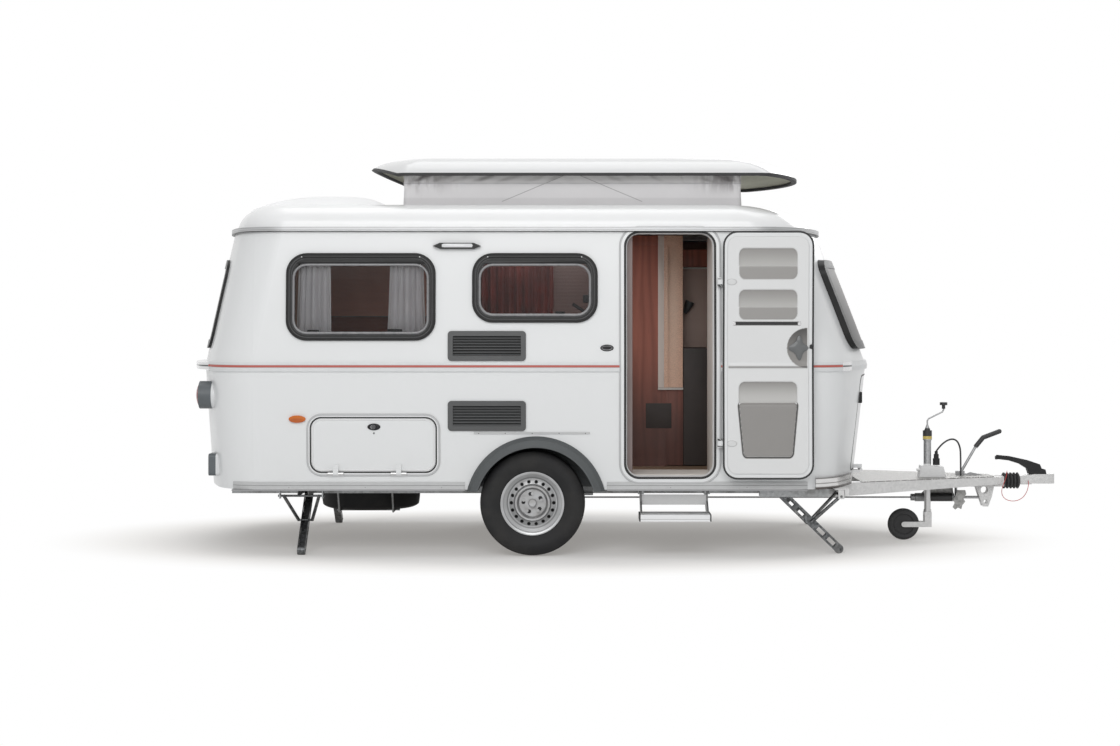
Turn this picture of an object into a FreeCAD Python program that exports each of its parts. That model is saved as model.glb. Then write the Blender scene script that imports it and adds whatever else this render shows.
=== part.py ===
import FreeCAD, Part
import math
import os

from FreeCAD import Vector

# A travel caravan with a lifting roof, parked on its wheels, corner steadies and jockey wheel.
# Millimetres. +X is forward, towards the coupling, +Y is left, +Z is up, and the ground is z = 0.
# Stations along X are measured from the axle while modelling; export moves them by origin_shift,
# so that the finished part has its origin on the ground at the middle of its length.

# Overall
rear_reach = 2151.0
front_reach = 3345.0
origin_shift = (rear_reach - front_reach) / 2
overrun = 40.0
seat_gap = 0.3
moving_gap = 7.0

# Body: a plan section at the belt, and how far the ends and sides draw in above and below it
bottom_z = 400.0
belt_z = 1131.0
eaves_z = 1945.0
belt_rear = 2094.0
belt_front = 2107.0
belt_half_width = 1000.0
corner_radius = 300.0
rear_bow_radius = 2200.0
front_bow_radius = 1800.0
wall = 26.0
lower_rear_inset = 50.0
lower_front_inset = 85.0
lower_side_inset = 25.0
upper_rear_inset = 185.0
upper_front_inset = 317.0
upper_side_inset = 35.0
lower_mid_height_share = 0.52
lower_mid_inset_share = 0.45
upper_mid_height_share = 0.51
upper_mid_inset_share = 0.50
rear_split_length = 434.0
front_split_length = 480.0
trim_stand = 5.0

# Side windows: rear edge, front edge, sill, head
rear_window = (-1460.0, -579.0, 1292.0, 1804.0)
mid_window = (-353.0, 385.0, 1399.0, 1804.0)
window_radius = 118.0
window_frame_width = 46.0
window_stand = 16.0
pane_thickness = 5.0
pane_set_out = 4.0
rain_strip_height = 15.0
rain_strip_stand = 8.0

# End windows
rear_pane_half_width = 640.0
rear_pane_z = (1240.0, 1775.0)
front_pane_half_width = 700.0
front_pane_z = (1235.0, 1775.0)
end_window_radius = 90.0
front_window_stand = 38.0

# Entrance door, shut position, and its hinge line
door_rear = 553.0
door_front = 1089.0
door_sill = 470.0
door_head = 1935.0
door_radius = 85.0
door_hinge_x = 1109.0
door_hinge_out = 17.0
door_hinge_z = (679.0, 1637.0)
door_jamb_lap = 12.0
door_rebate = 5.3
door_jamb_depth = 34.0
door_jamb_width = 30.0
door_liner_thickness = 10.0
door_liner_margin = 24.0
door_open_angle = 180.0
door_trim_width = 34.0
hinge_pin_radius = 4.0
hinge_fit = 0.08
hinge_barrel_radius = 9.0
hinge_knuckle_height = 30.0
hinge_lug_height = 12.0
hinge_arm_thickness = 6.0
hinge_arm_length = 45.0

# Pockets in the door's liner: rear edge and front edge as seen with the door open, foot, head
pocket_inner_margin = 108.0
pocket_outer_margin = 92.0
upper_pocket_z = ((1650.0, 1835.0), (1412.0, 1590.0))
bin_pocket_z = (630.0, 1045.0)
pocket_depth = 15.0
pocket_radius = 36.0
pocket_lip_share = 0.42
pocket_lip_thickness = 5.0
bin_lip_share = 0.72
bin_foot_inset = 34.0
blind_slot_z = (1392.0, 1368.0)
door_rail_height = 16.0
door_rail_stand = 5.0

# Side locker lid
locker_rear = -1317.0
locker_front = -573.0
locker_sill = 506.0
locker_head = 827.0
locker_radius = 62.0
locker_hinge_drop = 10.0
locker_hinge_out = 14.0
locker_hinge_x = (-1168.0, -793.0)
locker_hinge_width = 92.0
locker_trim_width = 24.0

# Gas locker lid in the front wall
gas_half_width = 520.0
gas_sill = 480.0
gas_head = 1062.0
gas_radius = 45.0
gas_hinge_drop = 9.0
gas_hinge_out = 14.0
gas_hinge_y = 330.0
gas_handle_z = 905.0

# Fridge vents
vent_x = (-502.0, -37.0)
vent_z = ((1167.0, 1345.0), (750.0, 929.0))
vent_radius = 22.0
vent_border = 22.0
vent_stand = 9.0
vent_slats = 7
vent_slat_tilt = 38.0
vent_slat_thickness = 4.0
vent_slat_depth = 17.0
vent_inset = 8.0
vent_slat_set = 4.0
vent_post_width = 20.0

# Roof moulding: height, rear reach, front reach, half width
roof_levels = (
    (1950.0, 1895.0, 1775.0, 955.0),
    (2030.0, 1868.0, 1700.0, 938.0),
    (2085.0, 1800.0, 1560.0, 880.0),
    (2105.0, 1700.0, 1330.0, 775.0),
)
roof_thickness = 24.0
hatch_rear = -770.0
hatch_front = 1245.0
hatch_half_width = 660.0
hatch_radius = 40.0
hump_half_width = 700.0
hump_rise = 58.0
hump_stations = (-1730.0, -1640.0, -1130.0, -1040.0, -850.0)
hump_rise_shares = (0.0, 0.42, 1.0, 0.93, 0.0)
hump_side_slope = 90.0
hump_sink = 30.0

# Lifting roof tray
tray_rim_z = 2300.0
tray_top_z = 2398.0
tray_half_width = 800.0
tray_rear_corner = -824.0
tray_front_corner = 1446.0
tray_rear_tip = -1092.0
tray_front_tip = 1668.0
tray_side_inset = 150.0
tray_front_inset = 285.0
tray_rear_inset = 112.0
tray_skirt = 30.0
tray_rear_rise = 94.0
tray_mid_height_share = 0.70
tray_mid_inset_share = 0.42
tray_crown_height = 17.0
tray_crown_inset_share = 2.6
tray_thickness = 20.0
tray_frame_thickness = 22.0
tray_corner_radius = 70.0
seal_out = 6.0
seal_height = 16.0

# Tent of the lifting roof
tent_rear = -796.0
tent_front = 1271.0
tent_half_width = 700.0
tent_radius = 30.0
tent_thickness = 6.0
tent_top_z = 2345.0
tent_foot_rise = 1.6

# Rails around the body
gutter_low = 1937.0
gutter_high = 1966.0
gutter_stand = 22.0
belt_rail_height = 54.0
belt_rail_stand = 12.0
bumper_height = 42.0
bumper_reach = 57.0
bumper_half_width = 860.0
skirt_height = 46.0
skirt_drop = 7.0
skirt_stand = 7.0
skirt_rear = -1790.0
skirt_front = 1640.0
awning_strip_x = (-347.0, 344.0)
awning_strip_z = 738.0
awning_strip_height = 12.0

# Wheels
tyre_radius = 315.0
tyre_width = 195.0
tyre_outer_y = 978.0
tyre_wall = 12.0
rim_radius = 190.0
rim_seat_radius = 178.0
rim_well_radius = 152.0
rim_wall = 4.0
disc_offset = 62.0
disc_thickness = 5.0
vent_hole_count = 18
vent_hole_circle = 127.0
vent_hole_radius = 7.5
stud_count = 5
stud_circle = 56.0
stud_radius = 9.0
hub_bore_radius = 26.0
hub_radius = 60.0
drum_radius = 118.0
drum_width = 66.0

# Wheel arches
arch_shift = 22.0
arch_drop = 18.0
arch_inner_radius = 357.0
arch_outer_radius = 421.0
arch_stand = 48.0
arch_tub_depth = 300.0
arch_wall = 4.0
arch_cut_radius = 366.0

# Chassis
rail_y = 345.0
rail_width = 40.0
rail_height = 78.0
rail_web = 5.0
floor_z = bottom_z
floor_thickness = 38.0
rail_top_z = bottom_z - seat_gap
cross_stations = (-1850.0, -500.0, 610.0)
cross_height = 60.0
step_rail_ties = (560.0, 1100.0)

# Drawbar: an A-frame of two arms that meet at the overrun tube
arm_root_x = 1800.0
arm_root_y = 585.0
arm_tip_x = 2985.0
arm_tip_y = 62.0
arm_width = 46.0
arm_root_height = 82.0
arm_tip_height = 46.0
arm_top_z = bottom_z - seat_gap
cover_thickness = 4.0
cover_rear = 2032.0
cover_front = 2940.0
cover_lap = 10.0
overrun_radius = 27.0
overrun_z = 370.0
overrun_rear = 2700.0
housing_front = 3010.0
housing_half = 34.0

# Axle
axle_tube_x = 165.0
axle_tube_side = 62.0
axle_tube_z = rail_top_z - rail_height - seat_gap - axle_tube_side / 2
arm_width_y = 34.0
swing_arm_height = 56.0
swing_arm_y = 738.0
stub_radius = 22.0
stub_fit = 0.08
stub_reach = 60.0

# Coupling head
ball_radius = 25.0
ball_fit = 0.4
ball_x = 3292.0
ball_socket_depth = 24.0
ball_mouth_z = 352.0
coupling_rear = 3120.0
coupling_half_width = 34.0
bellows_rear = housing_front + seat_gap
bellows_front = coupling_rear - seat_gap
bellows_radius = 52.0
bellows_root = 40.0
bellows_folds = 5
bellows_wall = 6.0

# Jockey wheel
jockey_x = 2510.0
jockey_y = -100.0
jockey_tube_radius = 24.0
jockey_tube_bore = 21.0
jockey_tube_top = 700.0
jockey_tube_foot = 330.0
jockey_stem_radius = 20.9
jockey_stem_bore = 9.0
jockey_stem_top = 560.0
jockey_stem_foot = 180.0
jockey_trail = 154.0
jockey_wheel_radius = 100.0
jockey_wheel_width = 46.0
jockey_fork_gap = 5.5
jockey_fork_plate = 5.0
jockey_fork_height = 34.0
jockey_axle_radius = 6.0
crank_radius = 5.0

# Corner steadies
steady_leg_length = 470.0
steady_brace_length = 235.0
steady_pivot_z = 355.0
steady_foot_radius = 28.0
steady_leg_width = 46.0
steady_leg_depth = 52.0
steady_leg_wall = 4.0
steady_slot_length = 62.0
steady_slot_height = 24.0
steady_slot_count = 5
steady_pin_radius = 7.0
steady_pin_fit = 0.08
steady_spread = 128.0
steady_brace_radius = 10.0
steady_joint_spread = 35.0
steady_ear_thickness = 8.0
steady_channel_wall = 3.0
steady_channel_clearance = 7.0
steady_channel_drop = 12.0
front_steady_x = 1847.0
front_steady_y = 800.0
rear_steady_x = -1388.0
rear_steady_y = 885.0

# Spare wheel and its cradle
spare_x = -1067.0
spare_radius = 315.0
spare_foot_z = 204.0
spare_width = 180.0
spare_cradle_slope = 60.0
spare_loop_half = 170.0
spare_tie_y = 150.0
spare_tie_half = 200.0
cradle_radius = 6.0

# Entrance step
step_x = (635.0, 1061.0)
step_tread_z = 240.0
step_tread_height = 40.0
step_tread_y = (-1075.0, -885.0)
step_riser_z = (303.0, 364.0)
step_riser_y = -905.0
step_wall = 5.0
step_runner_x = (650.0, 1046.0)
step_runner_y = (-900.0, -578.0)
step_runner_z = (374.0, 390.0)
step_runner_width = 24.0
step_web_thickness = 8.0
step_clearance = 0.8
step_channel_width = 36.0
step_channel_y = (-893.0, -372.0)
step_channel_height = 35.0

# Lead and breakaway cable
lead_radius = 5.5
cable_radius = 2.0

# Furniture seen through the doorway and windows
panel = 18.0
furniture_floor = floor_z + floor_thickness + seat_gap

body_levels_below = (
    (bottom_z, 1.0),
    (bottom_z + lower_mid_height_share * (belt_z - bottom_z), lower_mid_inset_share),
    (belt_z, 0.0),
)
body_levels_above = (
    (belt_z, 0.0),
    (belt_z + upper_mid_height_share * (eaves_z - belt_z), upper_mid_inset_share),
    (eaves_z, 1.0),
)


# Basic shapes

def box(x0, x1, y0, y1, z0, z1):
    return Part.makeBox(x1 - x0, y1 - y0, z1 - z0, Vector(x0, y0, z0))


def cylinder(base, axis, radius, length):
    return Part.makeCylinder(radius, length, base, axis)


def prism(points, direction):
    wire = Part.makePolygon(list(points) + [points[0]])
    return Part.Face(wire).extrude(direction)


def fuse(shapes):
    shapes = list(shapes)
    if len(shapes) == 1:
        return shapes[0]
    return shapes[0].fuse(shapes[1:]).removeSplitter()


def rounded_wire(u0, u1, v0, v1, radius, place):
    """A rounded rectangle in two coordinates; place turns (u, v) into a point."""
    k = radius * (1 - math.sqrt(0.5))
    corners = (
        ((u1 - radius, v0), (u1 - k, v0 + k), (u1, v0 + radius)),
        ((u1, v1 - radius), (u1 - k, v1 - k), (u1 - radius, v1)),
        ((u0 + radius, v1), (u0 + k, v1 - k), (u0, v1 - radius)),
        ((u0, v0 + radius), (u0 + k, v0 + k), (u0 + radius, v0)),
    )
    edges = []
    for i, (a, m, b) in enumerate(corners):
        edges.append(Part.Arc(place(*a), place(*m), place(*b)).toShape())
        start = corners[(i + 1) % 4][0]
        edges.append(Part.LineSegment(place(*b), place(*start)).toShape())
    return Part.Wire(edges)


def side_prism(x0, x1, z0, z1, radius, side, depth=200.0):
    """A rounded window-shaped block through one side wall; side is -1 for the right, +1 for the left."""
    y = side * (belt_half_width + depth / 2)
    wire = rounded_wire(x0, x1, z0, z1, radius, lambda u, v: Vector(u, y, v))
    return Part.Face(wire).extrude(Vector(0, -side * depth, 0))


def end_prism(half, z0, z1, radius, x0, x1):
    """A rounded window-shaped block through an end wall, from x0 to x1."""
    wire = rounded_wire(-half, half, z0, z1, radius, lambda u, v: Vector(x0, u, v))
    return Part.Face(wire).extrude(Vector(x1 - x0, 0, 0))


def flat_prism(x0, x1, half, radius, z0, z1):
    wire = rounded_wire(x0, x1, -half, half, radius, lambda u, v: Vector(u, v, z0))
    return Part.Face(wire).extrude(Vector(0, 0, z1 - z0))


def rod(points, radius):
    """A round bar along straight runs, with a ball at each bend."""
    pieces = []
    for a, b in zip(points, points[1:]):
        pieces.append(cylinder(a, b - a, radius, (b - a).Length))
    for p in points[1:-1]:
        pieces.append(Part.makeSphere(radius, p))
    return fuse(pieces)


def bent_tube(points, radius):
    """A tube along straight runs joined by tangent arcs, each as large as its two runs allow."""
    edges = []
    start = points[0]
    radii = []
    for i in range(1, len(points) - 1):
        before, here, after = points[i - 1], points[i], points[i + 1]
        a, b = before - here, after - here
        turn = math.pi - a.getAngle(b)
        tangent = 0.45 * min(a.Length, b.Length)
        r = tangent / math.tan(turn / 2)
        radii.append(round(r, 1))
        ua, ub = a.normalize(), b.normalize()
        p0, p1 = here + ua * tangent, here + ub * tangent
        bisector = (ua + ub).normalize()
        centre = here + bisector * math.hypot(r, tangent)
        middle = centre - bisector * r
        edges.append(Part.LineSegment(start, p0).toShape())
        edges.append(Part.Arc(p0, middle, p1).toShape())
        start = p1
    edges.append(Part.LineSegment(start, points[-1]).toShape())
    path = Part.Wire(edges)
    first = points[1] - points[0]
    circle = Part.Wire([Part.Circle(points[0], first, radius).toShape()])
    tube = path.makePipeShell([circle], True, False)
    share = tube.Volume / (math.pi * radius ** 2 * path.Length)
    print("tube: length %.0f, radii %s, volume share %.4f" % (path.Length, radii, share))
    return tube


# Body lofts

def section(z, rear, front, half, off=0.0, radius=corner_radius):
    """A plan section with straight sides, tangent corners and bowed ends, grown outwards by off."""
    half, radius = half + off, radius + off

    def end(reach, bow, sign):
        reach, bow = reach + off, bow + off
        centre = sign * (reach - bow)
        run = math.sqrt((bow - radius) ** 2 - (half - radius) ** 2)
        corner_x = centre + sign * run
        ux, uy = run / (bow - radius), (half - radius) / (bow - radius)
        middle = (math.pi / 2 + math.atan2(uy, ux)) / 2
        side_point = Vector(corner_x, half, z)
        arc_point = Vector(
            corner_x + sign * radius * math.cos(middle),
            half - radius + radius * math.sin(middle), z)
        end_point = Vector(centre + sign * bow * ux, bow * uy, z)
        return side_point, arc_point, end_point, Vector(sign * reach, 0, z)

    def mirrored(p):
        return Vector(p.x, -p.y, p.z)

    fs, fm, ft, fe = end(front, front_bow_radius, 1)
    rs, rm, rt, re = end(rear, rear_bow_radius, -1)
    edges = (
        Part.LineSegment(mirrored(rs), mirrored(fs)),
        Part.Arc(mirrored(fs), mirrored(fm), mirrored(ft)),
        Part.Arc(mirrored(ft), fe, ft),
        Part.Arc(ft, fm, fs),
        Part.LineSegment(fs, rs),
        Part.Arc(rs, rm, rt),
        Part.Arc(rt, re, mirrored(rt)),
        Part.Arc(mirrored(rt), mirrored(rm), mirrored(rs)),
    )
    return Part.Wire([e.toShape() for e in edges])


def body_section(z, share, below, off):
    rear = lower_rear_inset if below else upper_rear_inset
    front = lower_front_inset if below else upper_front_inset
    side = lower_side_inset if below else upper_side_inset
    return section(
        z, belt_rear - share * rear, belt_front - share * front,
        belt_half_width - share * side, off)


def body(off=0.0):
    """The body's outer form from skirt to eaves, grown outwards by off."""
    lower = Part.makeLoft([body_section(z, s, True, off) for z, s in body_levels_below], True, False)
    upper = Part.makeLoft([body_section(z, s, False, off) for z, s in body_levels_above], True, False)
    return lower.fuse(upper)


def roof_form(off=0.0, drop_shares=(0.0, 0.0, 0.0, 0.0)):
    """The roof moulding's outer form; off shrinks or grows it and drop_shares lower its levels by off."""
    wires = []
    widest = roof_levels[0][3]
    for (z, rear, front, half), drop in zip(roof_levels, drop_shares):
        radius = corner_radius - (widest - half)
        wires.append(section(z + drop * off, rear, front, half, off, radius))
    return Part.makeLoft(wires, True, False)


body_outer = body()
body_inner = body(-wall)
shell = body_outer.cut(body_inner)
trim_form = body(trim_stand)
window_form = body(window_stand)
pane_outer = body(pane_set_out + pane_thickness)
pane_inner = body(pane_set_out)
rear_split = -belt_rear + rear_split_length
front_split = belt_front - front_split_length
side_y = belt_half_width + 100.0
arch_x = arch_shift
arch_z = tyre_radius - arch_drop


def body_layer(out, into, region):
    """The skin between two offsets of the body's form, within a region."""
    return body(out).common(region).cut(body(into))


def window_list(side):
    """The side windows of one side."""
    return (rear_window, mid_window)


def grown(window, by):
    return (window[0] - by, window[1] + by, window[2] - by, window[3] + by)


def arch_cut(side):
    y0 = side * (belt_half_width + overrun)
    return cylinder(
        Vector(arch_x, y0, arch_z), Vector(0, -side, 0), arch_cut_radius,
        arch_tub_depth + overrun + arch_wall + 1)


def door_prism(margin=0.0):
    return side_prism(
        door_rear - margin, door_front + margin, door_sill - margin, door_head + margin,
        door_radius + margin, -1)


def locker_prism(margin=0.0):
    return side_prism(
        locker_rear - margin, locker_front + margin, locker_sill - margin, locker_head + margin,
        locker_radius + margin, -1)


def gas_prism(margin=0.0):
    return end_prism(
        gas_half_width + margin, gas_sill - margin, gas_head + margin, gas_radius + margin,
        belt_front - 3 * corner_radius, belt_front + overrun)


def raised_ring(form, outer, inner):
    """A flat trim ring that stands on the body's outside."""
    return form.cut(body_outer).common(outer.cut(inner))


def side_wall(side):
    slab = box(rear_split, front_split, min(0, side * side_y), max(0, side * side_y), bottom_z, eaves_z)
    panel_shape = shell.common(slab)
    for window in window_list(side):
        panel_shape = panel_shape.cut(side_prism(*window, window_radius, side))
    panel_shape = panel_shape.cut(arch_cut(side))
    if side < 0:
        for z0, z1 in vent_z:
            panel_shape = panel_shape.cut(
                side_prism(vent_x[0] + vent_border, vent_x[1] - vent_border,
                           z0 + vent_border, z1 - vent_border, vent_inset, side))
        rings = [
            raised_ring(trim_form, door_prism(door_trim_width), door_prism(moving_gap)),
            raised_ring(trim_form, locker_prism(locker_trim_width), locker_prism(moving_gap)),
        ]
        panel_shape = panel_shape.cut(door_prism(moving_gap)).cut(locker_prism(moving_gap))
        under = box(rear_split, front_split, -side_y, 0, bottom_z, gutter_low - seat_gap)
        panel_shape = fuse([panel_shape] + [r.common(under) for r in rings])
    return panel_shape


def rear_wall():
    slab = box(-belt_rear - overrun, rear_split, -side_y, side_y, bottom_z, eaves_z)
    window = end_prism(rear_pane_half_width, *rear_pane_z, end_window_radius,
                       -belt_rear - overrun, -belt_rear + 2 * corner_radius)
    return shell.common(slab).cut(window)


def front_window_prism(margin=0.0):
    return end_prism(
        front_pane_half_width + margin, front_pane_z[0] - margin, front_pane_z[1] + margin,
        end_window_radius + margin, belt_front - 3 * corner_radius, belt_front + overrun)


def front_wall():
    slab = box(front_split, belt_front + overrun, -side_y, side_y, bottom_z, eaves_z)
    return shell.common(slab).cut(front_window_prism()).cut(gas_prism(moving_gap))


def side_window_frames():
    """A rubber-edged frame in each opening: a sleeve in the wall and a flange outside, with a rain strip."""
    pieces = []
    layer = window_form.cut(body_outer)
    for side in (-1, 1):
        for window in window_list(side):
            hole = side_prism(*window, window_radius, side)
            flange = side_prism(*grown(window, -window_frame_width), window_radius - window_frame_width, side)
            lip = side_prism(*grown(window, 4.0), window_radius + 4.0, side)
            sleeve = shell.common(hole.cut(flange))
            outside = layer.common(lip.cut(flange))
            frame = fuse([sleeve, outside])
            pieces.append(frame)
    return pieces


def end_window_frames():
    rear_prism = lambda m: end_prism(
        rear_pane_half_width + m, rear_pane_z[0] - m, rear_pane_z[1] + m, end_window_radius + m,
        -belt_rear - 2 * overrun, -belt_rear + 2 * corner_radius)
    layer = window_form.cut(body_outer)
    rear_frame = fuse([
        shell.common(rear_prism(0.0).cut(rear_prism(-window_frame_width))),
        layer.common(rear_prism(4.0).cut(rear_prism(-window_frame_width))),
    ])
    front_layer = body(front_window_stand).cut(body_outer)
    front_frame = fuse([
        shell.common(front_window_prism().cut(front_window_prism(-window_frame_width))),
        front_layer.common(front_window_prism(4.0).cut(front_window_prism(-window_frame_width))),
    ])
    return [rear_frame, front_frame]


def window_panes():
    layer = pane_outer.cut(pane_inner)
    panes = []
    inset = window_frame_width + seat_gap
    for side in (-1, 1):
        for window in window_list(side):
            panes.append(layer.common(
                side_prism(*grown(window, -inset), window_radius - inset, side)))
    panes.append(layer.common(end_prism(
        rear_pane_half_width - inset, rear_pane_z[0] + inset, rear_pane_z[1] - inset,
        end_window_radius - inset, -belt_rear - overrun, -belt_rear + 2 * corner_radius)))
    front_layer = body(front_window_stand - pane_set_out).cut(
        body(front_window_stand - pane_set_out - pane_thickness))
    panes.append(front_layer.common(front_window_prism(-inset)))
    return panes


def fridge_vents():
    """Two grilles: a bordered frame whose sloping slats run across the opening."""
    region = side_prism(vent_x[0] - 1, vent_x[1] + 1, vent_z[1][0] - 1, vent_z[0][1] + 1, vent_radius, -1)
    face = body_layer(vent_stand, 0.0, region)
    plug = body_layer(0.0, -vent_slat_depth, region)
    grilles = []
    x0, x1 = vent_x
    border = vent_border + vent_inset
    for z0, z1 in vent_z:
        outline = side_prism(x0, x1, z0, z1, vent_radius, -1)
        hole = side_prism(x0 + vent_border, x1 - vent_border, z0 + vent_border, z1 - vent_border,
                          vent_inset, -1)
        low, high = z0 + border, z1 - border
        inner = side_prism(x0 + border, x1 - border, low, high, vent_inset / 2, -1)
        parts = [face.common(outline.cut(inner)), plug.common(hole.cut(inner))]
        pitch = (high - low) / vent_slats
        left, right = x0 + border - 1, x1 - border + 1
        rise = vent_slat_depth * math.tan(math.radians(vent_slat_tilt))
        for i in range(vent_slats):
            z = low + (i + 0.5) * pitch - rise / 2
            y_out = -belt_half_width + vent_slat_set
            y_in = y_out + vent_slat_depth
            parts.append(prism(
                [Vector(left, y_out, z), Vector(left, y_in, z + rise),
                 Vector(left, y_in, z + rise + vent_slat_thickness),
                 Vector(left, y_out, z + vent_slat_thickness)],
                Vector(right - left, 0, 0)))
        post_x = (x0 + x1) / 2
        post_half = vent_post_width / 2
        parts.append(box(post_x - post_half, post_x + post_half,
                         -belt_half_width + vent_slat_set + vent_slat_depth - 1,
                         -belt_half_width + vent_slat_set + vent_slat_depth + vent_slat_thickness,
                         low - 1, high + 1))
        grilles.append(fuse(parts))
    return grilles


# Doors and lids

def turned(shape, base, axis, angle):
    copy = shape.copy()
    copy.rotate(base, axis, angle)
    return copy


door_axis_y = -(belt_half_width + door_hinge_out)
door_axis = Vector(door_hinge_x, door_axis_y, 0)


def opened(shape):
    return turned(shape, door_axis, Vector(0, 0, 1), door_open_angle)


def door_knuckles():
    """The door's half of each hinge: a barrel round the pin and an arm on the door's outside."""
    pieces = []
    for z in door_hinge_z:
        foot = z - hinge_knuckle_height / 2
        barrel = cylinder(Vector(door_hinge_x, door_axis_y, foot), Vector(0, 0, 1),
                          hinge_barrel_radius, hinge_knuckle_height)
        arm = box(door_hinge_x - hinge_arm_length - hinge_barrel_radius, door_hinge_x,
                  -belt_half_width - hinge_arm_thickness - upper_side_inset / 4,
                  -belt_half_width + wall / 2 + upper_side_inset / 2,
                  foot, foot + hinge_knuckle_height)
        bridge = box(door_hinge_x - hinge_barrel_radius, door_hinge_x,
                     door_axis_y, -belt_half_width, foot, foot + hinge_knuckle_height)
        clear = box(door_front, door_hinge_x + hinge_barrel_radius, -belt_half_width,
                    0, foot, foot + hinge_knuckle_height)
        bore = cylinder(Vector(door_hinge_x, door_axis_y, foot - 1), Vector(0, 0, 1),
                        hinge_pin_radius + hinge_fit, hinge_knuckle_height + 2)
        arm = arm.cut(clear).cut(body_inner)
        pieces.append(fuse([barrel, bridge, arm]).cut(bore))
    return pieces


def door_leaf():
    leaf = shell.common(door_prism())
    belt = belt_band().common(door_prism())
    return opened(fuse([leaf, belt] + door_knuckles()))


def pocket_rim(skin, mouth_size, depth_layer):
    """The raised edge round a pocket in the liner, and the pocket's opening."""
    rear, front, foot, head = mouth_size
    mouth = side_prism(rear, front, foot, head, pocket_radius, -1)
    inner = side_prism(
        rear + pocket_lip_thickness, front - pocket_lip_thickness, foot + pocket_lip_thickness,
        head - pocket_lip_thickness, pocket_radius - pocket_lip_thickness, -1)
    return skin.cut(mouth), depth_layer.common(mouth.cut(inner)), mouth


def door_liner():
    """The moulded inner skin: a panel with two shelf pockets, a blind slot, a rail and a waste bin."""
    x0, x1 = door_rear + door_liner_margin, door_front - door_liner_margin
    z0, z1 = door_sill + 1.4 * door_liner_margin, door_head - 1.6 * door_liner_margin
    outline = side_prism(x0, x1, z0, z1, door_radius - door_liner_margin, -1)
    back = -wall - seat_gap
    skin = body_layer(back, back - door_liner_thickness, outline)
    depth_layer = body_layer(back, back - pocket_depth, outline)
    face = depth_layer.cut(body(-wall - pocket_depth + pocket_lip_thickness))
    rear, front = x0 + pocket_outer_margin, x1 - pocket_inner_margin + pocket_outer_margin / 2
    pieces = []
    for foot, head in upper_pocket_z:
        skin, rim, mouth = pocket_rim(skin, (rear, front, foot, head), depth_layer)
        lip_top = foot + pocket_lip_share * (head - foot)
        lip = face.common(mouth).common(box(rear, front, -side_y, 0, foot, lip_top))
        pieces += [rim, lip]
    foot, head = bin_pocket_z
    skin, rim, mouth = pocket_rim(skin, (rear, front, foot, head), depth_layer)
    lip_top = foot + bin_lip_share * (head - foot)
    bin_front = prism(
        [Vector(rear + bin_foot_inset, -side_y, foot), Vector(front - bin_foot_inset, -side_y, foot),
         Vector(front, -side_y, lip_top), Vector(rear, -side_y, lip_top)],
        Vector(0, side_y, 0))
    pieces += [rim, face.common(mouth).common(bin_front)]
    rail_outline = side_prism(
        x0 + pocket_lip_thickness, x1 - pocket_lip_thickness,
        belt_z - door_rail_height / 2, belt_z + door_rail_height / 2, door_rail_stand, -1)
    rail = body_layer(back - door_liner_thickness + 1, back - door_liner_thickness - door_rail_stand,
                      rail_outline)
    slot = side_prism(rear - pocket_radius, front + pocket_radius / 2, blind_slot_z[1], blind_slot_z[0],
                      pocket_lip_thickness, -1)
    return opened(fuse([skin.cut(slot), rail] + pieces))


def door_frame():
    """The jamb behind the door, with the fixed half of each hinge."""
    lap = door_prism(-door_jamb_lap)
    outer = door_prism(door_jamb_width)
    layer = body_layer(-wall - seat_gap, -wall - seat_gap - door_jamb_depth, outer)
    rebate = body_layer(-wall, -wall - door_rebate, door_prism(moving_gap))
    jamb = layer.cut(lap).cut(rebate)
    hinges = []
    for z in door_hinge_z:
        for low in (z - hinge_knuckle_height / 2 - hinge_lug_height - 0.5, z + hinge_knuckle_height / 2 + 0.5):
            lug = fuse([
                cylinder(Vector(door_hinge_x, door_axis_y, low), Vector(0, 0, 1),
                         hinge_barrel_radius, hinge_lug_height),
                box(door_hinge_x - hinge_barrel_radius / 2, door_hinge_x + 2 * hinge_barrel_radius,
                    door_axis_y, -belt_half_width + upper_side_inset + wall, low, low + hinge_lug_height),
            ]).cut(trim_form)
            hinges.append(lug)
        pin = cylinder(
            Vector(door_hinge_x, door_axis_y, z - hinge_knuckle_height / 2 - hinge_lug_height),
            Vector(0, 0, 1), hinge_pin_radius, hinge_knuckle_height + 2 * hinge_lug_height)
        plate = box(door_hinge_x + hinge_barrel_radius, door_hinge_x + 2 * hinge_barrel_radius,
                    -belt_half_width - trim_stand - hinge_arm_thickness, -belt_half_width + upper_side_inset,
                    z - hinge_knuckle_height / 2 - hinge_lug_height,
                    z + hinge_knuckle_height / 2 + hinge_lug_height).cut(trim_form)
        hinges.append(pin)
        hinges.append(plate)
    half = len(hinges) // 2
    return [jamb, fuse(hinges[:half]), fuse(hinges[half:])]


def lower_side_at(z):
    """Half width of the body at a height below the belt, near enough for a hinge line outside it."""
    share = (belt_z - z) / (belt_z - bottom_z)
    return belt_half_width - share * lower_side_inset


locker_axis_z = locker_sill - locker_hinge_drop
locker_axis_y = -(lower_side_at(locker_sill) + trim_stand + locker_hinge_out)


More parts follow.
